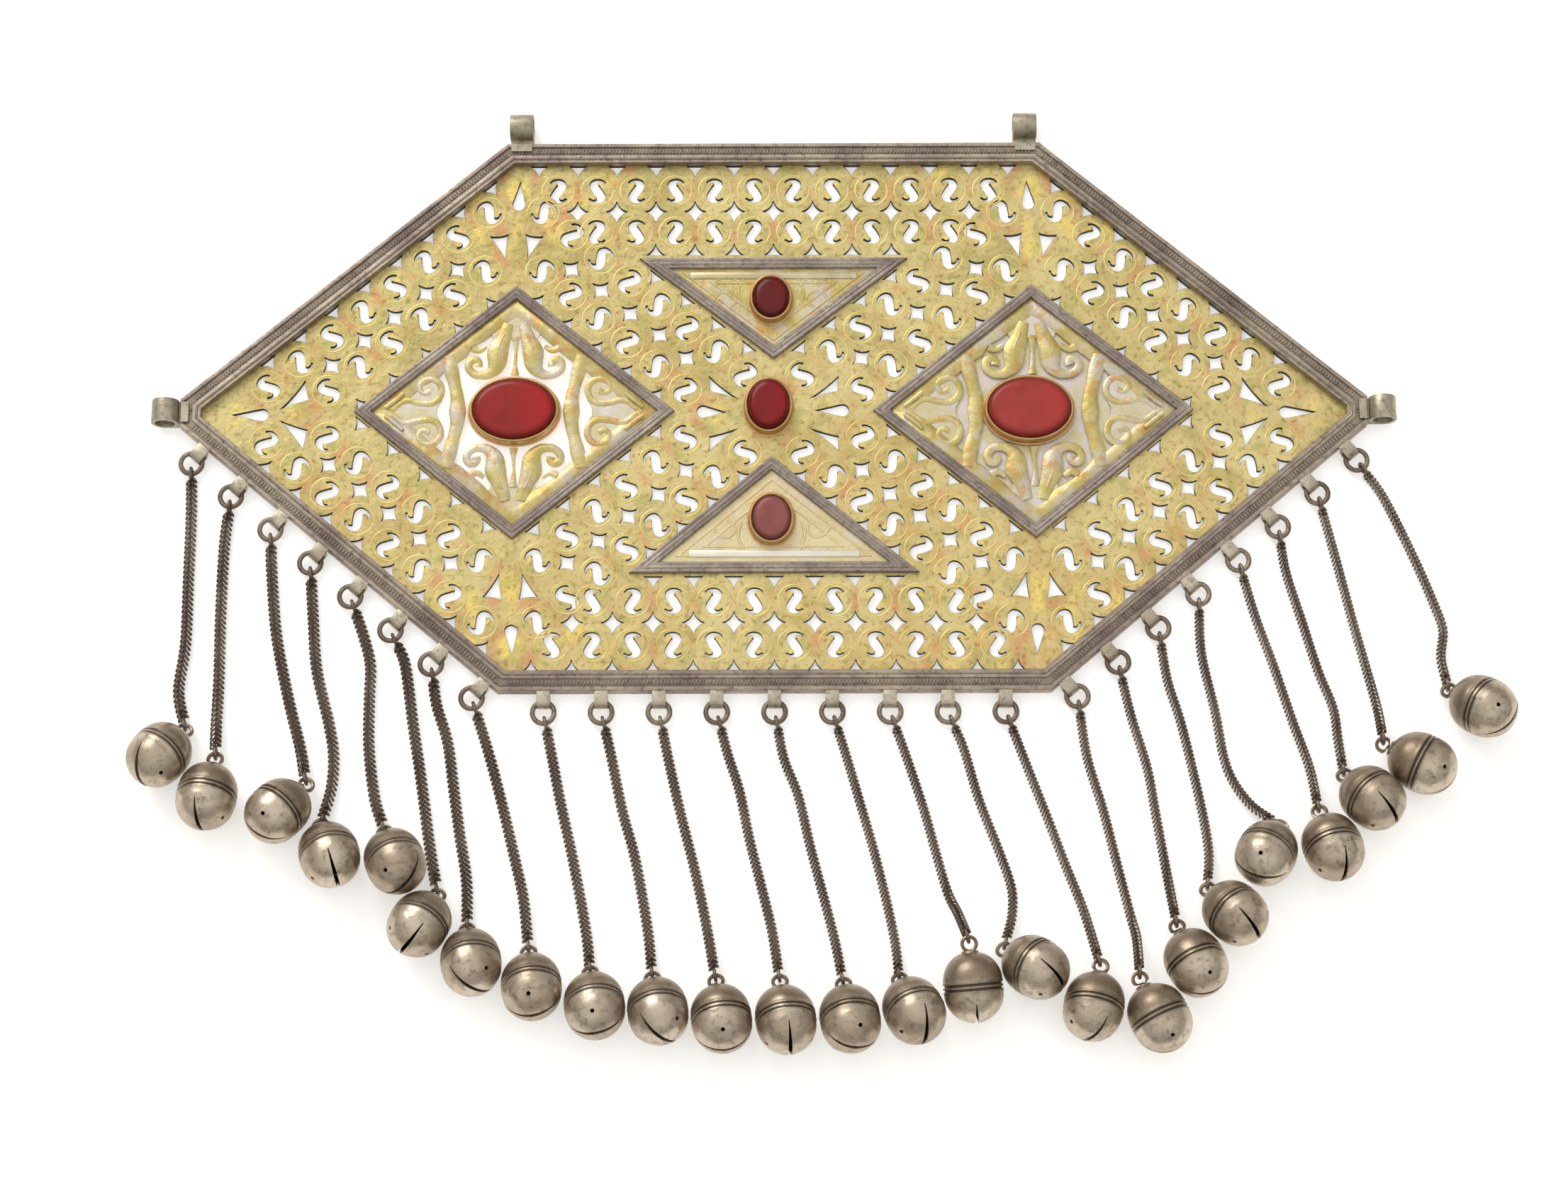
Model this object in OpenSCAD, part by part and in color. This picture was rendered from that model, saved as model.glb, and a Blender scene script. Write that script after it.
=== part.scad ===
// A chest ornament of the Turkmen kind, lying on its back: a hexagonal pierced sheet in a
// milled border, panels with stones, and a fringe of chains with round closed bells.
// Millimetres. The origin is on the underside of the sheet, behind the centre stone,
// +X to the wearer's left, +Y to the top edge, +Z out of the front.

/* [Plate] */
// Centre to side corner of the hexagon, before the corner is cut off for a loop
half_width = 133.8; // [133:0.2:135]
// Centre to top edge of the hexagon
half_height = 63.2; // [62:0.2:64]
// Centre to where the top edge meets a slanting edge
shoulder = 59.5; // [59:0.5:60]
// Thickness of the pierced sheet
sheet_t = 1.2; // [0.8:0.1:1.2]
// Width of a stroke of an S-hole at its belly
stroke_w = 2; // [1.2:0.1:2.2]

/* [Border] */
// Width of the border strip
border_w = 4.6; // [4.2:0.1:4.8]
// Height of the border
border_h = 3.4; // [3.2:0.1:4]
// Width of each smooth edge wire
edge_wire_w = 0.9; // [0.6:0.1:1.1]
// Depth of the channel between the edge wires
channel_d = 0.4; // [0.2:0.1:0.6]

/* [Loops and hangers] */
// Radius of a suspension loop's bore
loop_bore_r = 2.2; // [2:0.1:2.3]
// Wall of a suspension loop
loop_wall = 0.8; // [0.6:0.1:0.8]
// Length of a suspension loop's bore
loop_len = 5.2; // [4:0.1:6]
// Width of a hanger strip
hanger_w = 2.2; // [1.6:0.1:2.6]
// Radius of the hole in a hanger's eye
eye_bore_r = 0.9; // [0.85:0.05:1]

/* [Panels and stones] */
// Height of a panel's strip frame
frame_h = 2.8; // [2.4:0.1:3]
// Width of a panel's strip frame
frame_w = 2.2; // [1.8:0.1:2.4]
// Width of a large stone
big_stone_w = 18; // [17:0.5:19]
// Height of a large stone across the panel
big_stone_d = 13.6; // [13:0.2:14]

/* [Fringe] */
// Radius of a chain, taken as a round rope
chain_r = 1.15; // [1:0.05:1.2]
// Radius of a jump ring at the middle of its wire
ring_r = 2.6; // [2.5:0.05:2.7]
// Radius of a jump ring's wire
ring_wire_r = 0.5; // [0.4:0.05:0.6]
// Outer radius of a bell
bell_r = 6.3; // [6:0.05:6.3]
// Wall of a bell
bell_wall = 0.6; // [0.5:0.1:0.8]
// Width of a bell's slit
slit_w = 0.65; // [0.5:0.05:0.9]

/* [Hidden] */
gap = 0.1;
panel_gap = 0.15;
$fn = 48;

// Slope of the four slanting edges, and the border's rebate over the sheet's edge
slant = atan2(half_height, half_width - shoulder);
border_wall = 2.8;
lip_z = sheet_t + gap;

// Centre to where a side corner of the border is cut off square
tip_x = 130.2;

// Piercing of the top band, repeated below: two rows of S-holes on one spacing
s_pitch = 8.75;
outer_row_y = 52.6;
inner_row_y = 42.7;
outer_row_n = 12;
inner_row_n = 10;

// Ends of the slanting rows in the upper left quarter, from the top inwards
border_row_from = [-63.5, 47.5];
border_row_to = [-111.3, 6.5];
triangle_row_from = [-51.3, 47.5];
triangle_row_to = [-6.3, 9];
slant_row_n = 8;

// Half of an S-hole's centre line from its middle to its tail: x, y, share of the stroke's width
S_HALF = [
    [0, 0, 0.94],
    [-0.85, 1.1, 1],
    [-0.75, 1.9, 0.78],
    [0.2, 2.45, 0.5],
    [1.2, 2.45, 0.28],
    [2, 2.1, 0.12]
];

// Panels: rhombs beside the middle, triangles above and below it
rhomb_x = 57;
rhomb_y = 0.5;
rhomb_half_w = 34;
rhomb_half_h = 28.3;
UPPER_TRIANGLE = [[-29.3, 36], [29.3, 36], [0, 12]];
LOWER_TRIANGLE = [[30, -36], [-30, -36], [-0.5, -10.8]];
ground_z = 0.4;
ground_t = 1;

// Stones and their collars: place, width, height across the panel, base level, top level
collar_wall = 0.9;
collar_gap = 0.1;
collar_h = 2;
on_panel = ground_z + ground_t;
STONE_LEFT = [-57, 0.5, big_stone_w, big_stone_d, on_panel, 4.6];
STONE_RIGHT = [56.5, 0.5, big_stone_w, big_stone_d, on_panel, 4.6];
STONE_UPPER = [-0.6, 26.5, 7.8, 9.3, on_panel, 4.4];
STONE_CENTRE = [-1.2, 1.5, 9, 11.2, sheet_t, 4.8];
STONE_LOWER = [-0.6, -24.5, 8.3, 10, on_panel, 4.4];

// Hangers: along a slanting edge from the side corner, and along the bottom edge
side_hangers = 8;
side_first = 12.2;
side_pitch = 11.7;
bottom_hangers = 9;
bottom_pitch = 12.4;
eye_r = 1.6;
eye_z = 1.6;
eye_out = 1.9;
strip_z = 2.6;
strip_t = 0.45;

// Links at both ends of a chain, and the loop on each bell
link_r = 1.25;
link_wire_r = 0.4;
link_z = 1.7;
ring_z = 1.55;
chain_gap = 0.15;
link_reach = link_r + link_wire_r + chain_gap;
chain_z = 1.2;
chain_sides = 8;
steps_per_point = 2;
loop_ring_r = 1.5;
loop_wire_r = 0.45;
loop_out = 9.1;

// A bell is two half balls on a short band
band_half = 1.2;
band_r = bell_r + 0.08;
slit_from = 3.4;
dot_r = 0.45;
dot_angle = 42;
chain_count = 25;

// Bells from left to right: x, y, direction of the lower pole in plan, its lift, turn of the slit
BELLS = [
    [-130.6, -77.9, -125, 31, -30],
    [-120.2, -86.9, -97, 18, -12],
    [-105, -90.1, -130, 24, 85],
    [-93.8, -99.6, -70, 31, 5],
    [-79.9, -101.1, -68, 31, 60],
    [-74.5, -114.5, -115, 31, 18],
    [-63.5, -122.6, -80, 31, -45],
    [-50.8, -127.8, -83, 28, 85],
    [-37.6, -131.8, -81, 31, 85],
    [-24.4, -133, -80, 31, -38],
    [-11.2, -134.6, -82, 21, 90],
    [2.2, -134.8, -82, 21, 5],
    [15.6, -134.7, -81, 28, 110],
    [28.9, -133, -69, 31, 20],
    [41.3, -128.1, -85, -10, 0],
    [54.4, -124, -36, 31, 8],
    [66.3, -132.2, -102, 12, 30],
    [80, -134.6, -65, 5, 90],
    [87.9, -123.1, -67, 17, 100],
    [96.4, -112.7, -50, 31, 0],
    [103.5, -99.9, -120, 31, 75],
    [117.6, -98.6, -76, 21, 12],
    [126.4, -88.1, -50, 31, 0],
    [137.4, -80.5, -30, 12, 90],
    [151, -68.2, -36, 30, 90]
];

// Where each chain lies on the ground between its two end links
ROUTES = [
    [[-127, -24], [-127, -38], [-127, -52], [-128, -62.5]],
    [[-119.5, -30], [-119.7, -45], [-119.5, -60], [-119.5, -70]],
    [[-109, -36], [-107.5, -50], [-104.5, -64], [-101.5, -75]],
    [[-99.7, -46], [-98.5, -58], [-95.5, -70], [-94.3, -77], [-94.5, -84]],
    [[-88.5, -51], [-87, -57], [-87, -64], [-86.8, -75], [-85.3, -86]],
    [[-79.5, -57], [-77.5, -70], [-75.5, -82], [-73.7, -94], [-72.5, -101]],
    [[-72.5, -66], [-70, -74], [-68.5, -84], [-67, -94], [-65.3, -104]],
    [[-61, -77], [-58, -88], [-55.3, -99], [-53.2, -108]],
    [[-47.3, -79], [-45.5, -88], [-43, -99], [-40.8, -110], [-39.6, -117]],
    [[-35, -77], [-32.5, -89], [-30, -98], [-28.2, -107], [-26.7, -116]],
    [[-22.5, -79], [-20, -90], [-17, -102], [-14.5, -114]],
    [[-10, -77], [-7.5, -85], [-5.5, -95], [-2.8, -106], [-0.7, -115]],
    [[2, -78], [5, -86], [7.5, -97], [10.3, -108], [12.5, -117]],
    [[15.5, -78], [18, -87], [21, -98], [23.8, -110], [25.3, -118]],
    [[28.3, -78], [31.7, -89], [34.3, -99], [36.5, -107], [38.5, -112]],
    [[40.5, -76], [43.5, -87], [47.5, -98], [50, -106], [50, -112]],
    [[54, -80], [58, -91], [61.5, -101], [65, -111]],
    [[66.8, -78], [69.8, -89], [72.5, -101], [75, -112], [76, -117]],
    [[76.5, -69], [79.5, -80], [81, -90], [82.5, -100], [83.3, -106]],
    [[84.5, -61], [87, -70], [89.5, -82], [91.3, -92], [92, -99]],
    [[92, -55], [94.5, -68], [96, -78], [98, -83.5], [101.5, -88.5]],
    [[104, -47], [107.5, -58], [111, -70], [114, -80]],
    [[111, -37], [114, -48], [117, -59], [119.8, -67], [120.5, -74]],
    [[121.5, -32], [124.5, -46], [127, -57], [129, -67]],
    [[133, -20], [139, -34], [143, -45], [144.3, -50], [143.5, -56]]
];

function two_digits(n) = n < 10 ? str("0", n) : str(n);

METALWORK = [
    "pierced_plate", "border_frame", "suspension_loops", "rhomb_panels", "triangle_panels"
];
STONES = ["stone_left", "stone_right", "stone_upper", "stone_centre", "stone_lower"];

gilt = "#c9a03c";
silver = "#9a9384";
dark_silver = "#6e6558";
pale_bell = "#b5aa98";
carnelian = "#8e3a20";

// Outlines

function hex_inset(d) =
    let (
        corner = half_width - d / sin(slant),
        top = half_height - d,
        side = half_width - d / sin(slant) - top / tan(slant)
    )
    [[corner, 0], [side, top], [-side, top], [-corner, 0], [-side, -top], [side, -top]];

function rhomb_inset(d) =
    let (
        across = rhomb_half_w * rhomb_half_h / norm([rhomb_half_w, rhomb_half_h]),
        k = (across - d) / across
    )
    [[rhomb_half_w * k, 0], [0, rhomb_half_h * k], [-rhomb_half_w * k, 0], [0, -rhomb_half_h * k]];

function incentre(t) =
    let (a = norm(t[1] - t[2]), b = norm(t[2] - t[0]), c = norm(t[0] - t[1]))
    (a * t[0] + b * t[1] + c * t[2]) / (a + b + c);

function inradius(t) =
    let (
        a = norm(t[1] - t[2]),
        b = norm(t[2] - t[0]),
        c = norm(t[0] - t[1]),
        twice_area = abs(cross(t[1] - t[0], t[2] - t[0]))
    )
    twice_area / (a + b + c);

function triangle_inset(t, d) =
    let (m = incentre(t), k = (inradius(t) - d) / inradius(t))
    [for (p = t) m + (p - m) * k];

function unit(v) = v / norm(v);

// A stroke's outline: along the left of its centre line and back along the right
function stroke_outline(line, w) =
    let (
        last = len(line) - 1,
        at = [for (p = line) [p.x, p.y]],
        ahead = [for (i = [0 : last]) unit(at[min(i + 1, last)] - at[max(i - 1, 0)])],
        side = [for (i = [0 : last]) [-ahead[i].y, ahead[i].x] * line[i].z * w / 2]
    )
    concat(
        [for (i = [0 : last]) at[i] + side[i]],
        [for (i = [last : -1 : 0]) at[i] - side[i]]
    );

S_LINE = concat(
    [for (i = [len(S_HALF) - 1 : -1 : 1]) [-S_HALF[i].x, -S_HALF[i].y, S_HALF[i].z]],
    S_HALF
);

function evenly(from, to, count) = [for (i = [0 : count - 1]) from + (to - from) * i / (count - 1)];

// Holes of the pierced work

module s_hole(reversed) {
    mirror([reversed ? 1 : 0, 0]) polygon(stroke_outline(S_LINE, stroke_w));
}

module drop_hole(tip, round_end, r) {
    reach = norm(round_end - tip) - r;
    turn = atan2(round_end.y - tip.y, round_end.x - tip.x);
    translate(tip) rotate(turn)
        polygon(concat([[0, 0]], [for (a = [-110 : 20 : 110]) [reach + r * cos(a), r * sin(a)]]));
}

module leaf_hole(a, b, c) {
    pull = 0.25;
    m = (a + b + c) / 3;
    polygon([a, (a + b) / 2 * (1 - pull) + m * pull, b, (b + c) / 2, c, (c + a) / 2 * (1 - pull) + m * pull]);
}

module mirrored_y() {
    children();
    mirror([0, 1]) children();
}

module mirrored_x() {
    children();
    mirror([1, 0]) children();
}

module level_rows() {
    for (i = [0 : outer_row_n - 1])
        translate([s_pitch * (i - (outer_row_n - 1) / 2), outer_row_y]) s_hole(i % 2 == 0);
    for (i = [0 : inner_row_n - 1])
        translate([s_pitch * (i - (inner_row_n - 1) / 2), inner_row_y]) s_hole(i % 2 == 0);
}

module slanting_rows() {
    border_row = evenly(border_row_from, border_row_to, slant_row_n);
    for (i = [0 : slant_row_n - 1])
        translate(border_row[i]) rotate(slant) s_hole(i % 2 == 0);
    triangle_row = evenly(triangle_row_from, triangle_row_to, slant_row_n);
    for (i = [0 : slant_row_n - 1])
        translate(triangle_row[i]) rotate(-slant) s_hole(i % 2 == 1);
}

module corner_drops() {
    mirrored_x() mirrored_y() drop_hole([-56.6, 54.8], [-57, 48], 1.4);
    mirrored_x() drop_hole([-119.2, 0], [-111, 0], 1.4);
}

module centre_holes() {
    drop_hole([-10.5, 0.3], [-17, 0.6], 1.4);
    drop_hole([9, 0.7], [16.5, 0.7], 1.4);
    mirrored_x() mirrored_y() leaf_hole([8, 3.5], [14.3, 8.7], [14.2, 5.3]);
}

module panel_openings() {
    for (s = [-1, 1]) translate([s * rhomb_x, rhomb_y]) polygon(rhomb_inset(-panel_gap));
    polygon(triangle_inset(UPPER_TRIANGLE, -panel_gap));
    polygon(triangle_inset(LOWER_TRIANGLE, -panel_gap));
}

// Collars and stones

module oval(w, d) {
    scale([w / 2, d / 2]) circle(r = 1);
}

module collar(stone) {
    rooted = 0.3;
    translate([stone[0], stone[1], stone[4] - rooted]) linear_extrude(collar_h + rooted)
        difference() {
            oval(stone[2] + 2 * (collar_gap + collar_wall), stone[3] + 2 * (collar_gap + collar_wall));
            oval(stone[2] + 2 * collar_gap, stone[3] + 2 * collar_gap);
        }
}

// A flat-topped cabochon with a rounded shoulder
module stone(stone) {
    base = stone[4] + 0.05;
    top = stone[5];
    shoulder_z = base + (top - base) * 0.6;
    color(carnelian) translate([stone[0], stone[1], 0]) hull() {
        translate([0, 0, base]) linear_extrude(shoulder_z - base) stone_outline(stone, 1);
        translate([0, 0, top - 0.4]) linear_extrude(0.1) stone_outline(stone, 0.92);
        translate([0, 0, top - 0.1]) linear_extrude(0.1) stone_outline(stone, 0.78);
    }
}

module stone_outline(stone, k) {
    oval(stone[2] * k, stone[3] * k, $fn = 28);
}

// Metalwork

module pierced_plate() {
    color(gilt) {
        linear_extrude(sheet_t) difference() {
            polygon(hex_inset(border_wall + gap));
            mirrored_y() level_rows();
            mirrored_x() mirrored_y() slanting_rows();
            corner_drops();
            centre_holes();
            panel_openings();
        }
        collar(STONE_CENTRE);
    }
}

// The border's outline, inset, with its side corners cut off square
module blunt_outline(d) {
    intersection() {
        polygon(hex_inset(d));
        square([2 * (tip_x - d), 4 * half_height], center = true);
    }
}

module border_ring() {
    difference() {
        linear_extrude(border_h) blunt_outline(0);
        translate([0, 0, -1]) linear_extrude(border_h + 2) polygon(hex_inset(border_w));
        translate([0, 0, -1]) linear_extrude(lip_z + 1) polygon(hex_inset(border_wall));
        translate([0, 0, border_h - channel_d]) linear_extrude(1) difference() {
            blunt_outline(edge_wire_w);
            polygon(hex_inset(border_w - edge_wire_w));
        }
    }
}

// A strip from the border's outer face, rolled into an eye; +Y points away from the plate
module hanger() {
    into_border = 0.8;
    translate([-hanger_w / 2, -into_border, strip_z]) cube([hanger_w, into_border + eye_out, strip_t]);
    translate([-hanger_w / 2, eye_out, eye_z]) rotate([0, 90, 0]) difference() {
        cylinder(r = eye_r, h = hanger_w);
        translate([0, 0, -1]) cylinder(r = eye_bore_r, h = hanger_w + 2);
    }
}

// Hangers from left to right: foot on the border's edge, and the outward direction's angle
function hanger_foot(n) =
    n < side_hangers ? side_foot(n, -1) :
    n < side_hangers + bottom_hangers ? [bottom_pitch * (n - chain_count / 2 + 0.5), -half_height] :
    side_foot(chain_count - 1 - n, 1);

function side_foot(i, side) =
    let (s = side_first + side_pitch * i)
    [side * (half_width - s * cos(slant)), -s * sin(slant)];

function hanger_turn(n) =
    n < side_hangers ? -90 - slant :
    n < side_hangers + bottom_hangers ? -90 :
    -90 + slant;

function outward(n) = [cos(hanger_turn(n)), sin(hanger_turn(n))];

module border_frame() {
    color(silver) {
        border_ring();
        for (n = [0 : chain_count - 1])
            translate(hanger_foot(n)) rotate(hanger_turn(n) - 90) hanger();
    }
}

// A strip rolled into a tube, on a foot that butts the border; +Y points away from the plate
module suspension_loop(out) {
    outer_r = loop_bore_r + loop_wall;
    foot_z = 0.6;
    foot_h = 2.2;
    foot_reach = 7;
    difference() {
        union() {
            translate([-loop_len / 2, out, outer_r + 0.05]) rotate([0, 90, 0])
                cylinder(r = outer_r, h = loop_len);
            translate([-loop_len / 2, out - foot_reach, foot_z]) cube([loop_len, foot_reach, foot_h]);
        }
        translate([-loop_len, out, outer_r + 0.05]) rotate([0, 90, 0])
            cylinder(r = loop_bore_r, h = 2 * loop_len);
    }
}

top_loop_x = 56.3;
top_loop_out = 3.9;
side_loop_out = 3.2;

module suspension_loops() {
    color(silver) difference() {
        union() {
            for (s = [-1, 1]) translate([s * top_loop_x, half_height]) suspension_loop(top_loop_out);
            for (s = [-1, 1]) translate([s * tip_x, 0]) rotate(-90 * s) suspension_loop(side_loop_out);
        }
        translate([0, 0, -1]) linear_extrude(border_h + 1.5) blunt_outline(-gap);
    }
}

module rhomb_panel(x, stone) {
    translate([x, rhomb_y]) {
        linear_extrude(frame_h) difference() {
            polygon(rhomb_inset(0));
            polygon(rhomb_inset(frame_w));
        }
        translate([0, 0, ground_z]) linear_extrude(ground_t) polygon(rhomb_inset(frame_w / 2));
    }
    collar(stone);
}

module rhomb_panels() {
    color(gilt) {
        rhomb_panel(-rhomb_x, STONE_LEFT);
        rhomb_panel(rhomb_x, STONE_RIGHT);
    }
}

module triangle_panel(outline, stone) {
    linear_extrude(frame_h) difference() {
        polygon(outline);
        polygon(triangle_inset(outline, frame_w));
    }
    translate([0, 0, ground_z]) linear_extrude(ground_t) polygon(triangle_inset(outline, frame_w / 2));
    collar(stone);
}

module triangle_panels() {
    color(gilt) {
        triangle_panel(UPPER_TRIANGLE, STONE_UPPER);
        triangle_panel(LOWER_TRIANGLE, STONE_LOWER);
    }
}

// Bells: where each lies and where its loop is

function bell_axis(b) = [cos(b[3]) * cos(b[2]), cos(b[3]) * sin(b[2]), sin(b[3])];
function bell_centre(b) = [b[0], b[1], bell_r + 0.05 + band_half * abs(sin(b[3]))];
function bell_loop(b) = bell_centre(b) - loop_out * bell_axis(b);

module wire_ring(r, wire_r) {
    rotate_extrude() translate([r, 0]) circle(r = wire_r);
}

module capsule(r) {
    translate([0, 0, band_half]) sphere(r = r);
    translate([0, 0, -band_half]) sphere(r = r);
    translate([0, 0, -band_half]) cylinder(r = r, h = 2 * band_half);
}

// A bell about its own centre, lower pole to +Z and the loop at the other end
module bell_body(slit_turn) {
    reach = 2 * bell_r;
    difference() {
        union() {
            capsule(bell_r);
            translate([0, 0, -band_half]) cylinder(r = band_r, h = 2 * band_half);
            translate([0, 0, -loop_out]) rotate([0, 90, 0]) wire_ring(loop_ring_r, loop_wire_r);
        }
        capsule(bell_r - bell_wall);
        rotate(-slit_turn) {
            translate([-reach / 2, -slit_w / 2, slit_from]) cube([reach, slit_w, reach]);
            for (s = [-1, 1]) translate([0, 0, band_half]) rotate([s * dot_angle, 0, 0])
                translate([0, 0, bell_r / 2]) cylinder(r = dot_r, h = bell_r);
        }
    }
}

module bell(b) {
    color(pale_bell) translate(bell_centre(b)) rotate([0, 90 - b[3], b[2]]) bell_body(b[4]);
}

// Chains: jump ring in the eye, top link, the chain, and an end link in the bell's loop

function ring_centre(n) = hanger_foot(n) + (eye_out + ring_r) * outward(n);

function top_direction(n) = unit(ROUTES[n][0] - ring_centre(n));
function top_link(n) = ring_centre(n) + ring_r * top_direction(n);
function chain_top(n) = top_link(n) + link_reach * top_direction(n);

// The end link hangs in the side of the bell's loop that faces the chain
function end_direction(n) =
    let (route = ROUTES[n], loop = bell_loop(BELLS[n]))
    unit(route[len(route) - 1] - [loop.x, loop.y]);
function loop_side(n) =
    let (back = -bell_axis(BELLS[n]), e = end_direction(n), flat = [back.x, back.y])
    atan2(cross(flat, e), flat * e);
function end_link(n) =
    let (
        loop = bell_loop(BELLS[n]),
        turn = loop_side(n),
        back = -bell_axis(BELLS[n]),
        flat_reach = loop_ring_r * norm([cos(turn) * norm([back.x, back.y]), sin(turn)]),
        at = [loop.x, loop.y] + flat_reach * end_direction(n)
    )
    [at.x, at.y, max(link_z, loop.z + loop_ring_r * cos(turn) * back.z)];
function chain_end(n) =
    let (link = end_link(n), at = [link.x, link.y] + link_reach * end_direction(n))
    [at.x, at.y, link.z];

// The chain leaves the ground over its last stretch
function chain_points(n) =
    let (
        route = ROUTES[n],
        last = len(route) - 1,
        top = chain_top(n),
        end = chain_end(n),
        near_end = chain_z + (end.z - chain_z) * 0.35
    )
    concat(
        [[top.x, top.y, chain_z]],
        [for (i = [0 : last]) [route[i].x, route[i].y, i == last ? near_end : chain_z]],
        [end]
    );

function curve_at(p, i, t) =
    let (
        a = p[max(i - 1, 0)],
        b = p[i],
        c = p[i + 1],
        d = p[min(i + 2, len(p) - 1)]
    )
    b + 0.5 * t * ((c - a) + t * ((2 * a - 5 * b + 4 * c - d) + t * (3 * b - a - 3 * c + d)));

function smooth_route(p) = concat(
    [for (i = [0 : len(p) - 2], k = [0 : steps_per_point - 1]) curve_at(p, i, k / steps_per_point)],
    [p[len(p) - 1]]
);

// A round rope swept along its points, with a fan of triangles at both ends
module swept_rope(p, r, sides) {
    last = len(p) - 1;
    ahead = [for (i = [0 : last]) unit(p[min(i + 1, last)] - p[max(i - 1, 0)])];
    side = [for (t = ahead) unit(cross(t, [0, 0, 1]))];
    up = [for (i = [0 : last]) cross(side[i], ahead[i])];
    skin = [
        for (i = [0 : last], k = [0 : sides - 1])
            p[i] + r * (cos(360 * k / sides) * side[i] + sin(360 * k / sides) * up[i])
    ];
    walls = [
        for (i = [0 : last - 1], k = [0 : sides - 1])
            let (
                a = i * sides + k,
                b = i * sides + (k + 1) % sides,
                c = b + sides,
                d = a + sides
            )
            each [[a, b, c], [a, c, d]]
    ];
    top_cap = [for (k = [1 : sides - 2]) [0, k + 1, k]];
    end_cap = [for (k = [1 : sides - 2]) [last * sides, last * sides + k, last * sides + k + 1]];
    polyhedron(points = skin, faces = concat(walls, top_cap, end_cap));
}

module upright_link(at, direction) {
    translate(at) rotate([0, 0, atan2(direction.y, direction.x)]) rotate([90, 0, 0])
        wire_ring(link_r, link_wire_r);
}

module chain(n) {
    ring = ring_centre(n);
    top = top_link(n);
    color(dark_silver) {
        translate([ring.x, ring.y, ring_z]) wire_ring(ring_r, ring_wire_r);
        upright_link([top.x, top.y, link_z], top_direction(n));
        swept_rope(smooth_route(chain_points(n)), chain_r, chain_sides);
        upright_link(end_link(n), end_direction(n));
    }
}

pierced_plate();
border_frame();
suspension_loops();
rhomb_panels();
triangle_panels();
stone(STONE_LEFT);  // stone_left
stone(STONE_RIGHT);  // stone_right
stone(STONE_UPPER);  // stone_upper
stone(STONE_CENTRE);  // stone_centre
stone(STONE_LOWER);  // stone_lower
for (n = [1 : chain_count])
    chain(n - 1);
for (n = [1 : chain_count])
    bell(BELLS[n - 1]);
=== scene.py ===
# %% [markdown]
# # A chest ornament of the Turkmen kind
# A hexagonal sheet of gilt silver is pierced with rows of S-holes and framed by a milled
# border. Four stones sit in panels and one in the middle of the sheet, and 25 woven
# chains end in round closed bells.
# The part was built in OpenSCAD and packed. This script loads it as a fixed frame and
# builds a finer piece over each node, so both always share one set of coordinates.

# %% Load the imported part
import math

import bmesh
import bpy
from mathutils import Matrix, Vector, noise


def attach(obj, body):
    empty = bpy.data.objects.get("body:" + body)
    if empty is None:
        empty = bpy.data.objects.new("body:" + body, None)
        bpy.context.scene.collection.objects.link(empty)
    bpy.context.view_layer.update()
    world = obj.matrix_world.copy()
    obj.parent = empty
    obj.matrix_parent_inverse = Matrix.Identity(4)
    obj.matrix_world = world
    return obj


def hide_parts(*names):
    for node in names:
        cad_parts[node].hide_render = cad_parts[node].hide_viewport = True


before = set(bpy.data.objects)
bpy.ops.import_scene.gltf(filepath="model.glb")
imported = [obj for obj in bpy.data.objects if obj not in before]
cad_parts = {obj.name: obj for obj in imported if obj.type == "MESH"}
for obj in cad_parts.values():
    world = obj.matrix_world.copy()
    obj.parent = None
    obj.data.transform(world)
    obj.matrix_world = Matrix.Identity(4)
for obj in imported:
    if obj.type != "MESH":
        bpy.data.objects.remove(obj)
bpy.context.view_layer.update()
print("nodes in the part:", len(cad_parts))

# %% [markdown]
# ## Camera
# The photo was taken from almost straight above, leaning 16 degrees towards the bells.
# A long lens from three quarters of a metre gives the same slight perspective.
# The numbers were found by fitting a pinhole camera to the border's corners and sides.

# %% Camera
MM = 0.001
scene = bpy.context.scene
tilt = math.radians(15.89)
roll = math.radians(-0.17)
camera_data = bpy.data.cameras.new("camera")
camera_data.sensor_width = 36
camera_data.lens = 82
camera_data.clip_start = 0.01
camera_data.clip_end = 10
camera_place = Vector((2.1, -252.8, 745.1)) * MM
camera = bpy.data.objects.new("camera", camera_data)
turn = Matrix.Rotation(tilt, 4, "X") @ Matrix.Rotation(roll, 4, "Z")
camera.matrix_world = Matrix.Translation(camera_place) @ turn
scene.collection.objects.link(camera)
scene.camera = camera
print("camera height in mm:", round(camera.location.z / MM))

# %% [markdown]
# ## Finishes as arithmetic
# A material is a small program. Written as nodes it needs dozens of Math nodes, so a
# small class wraps a socket: adding or multiplying two of them adds the Math node.
# One method makes every other node, and colours are mixed by Mix nodes.

# %% A number that makes Math nodes
class Number:
    """A socket that carries one number over the surface."""

    def __init__(self, finish, socket):
        self.finish = finish
        self.socket = socket

    def __add__(self, other):
        return self.finish.maths("ADD", self, other)

    def __sub__(self, other):
        return self.finish.maths("SUBTRACT", self, other)

    def __rsub__(self, other):
        return self.finish.maths("SUBTRACT", other, self)

    def __mul__(self, other):
        return self.finish.maths("MULTIPLY", self, other)

    def __truediv__(self, other):
        return self.finish.maths("DIVIDE", self, other)

    def __abs__(self):
        return self.finish.maths("ABSOLUTE", self)

    __radd__ = __add__
    __rmul__ = __mul__

    def held(self, low=0.0, high=1.0):
        """The number's way from low to high, kept between 0 and 1."""
        sockets = {"Value": self, "From Min": low, "From Max": high}
        node = self.finish.node("ShaderNodeMapRange", {"clamp": True}, sockets)
        return Number(self.finish, node.outputs["Result"])


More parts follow.
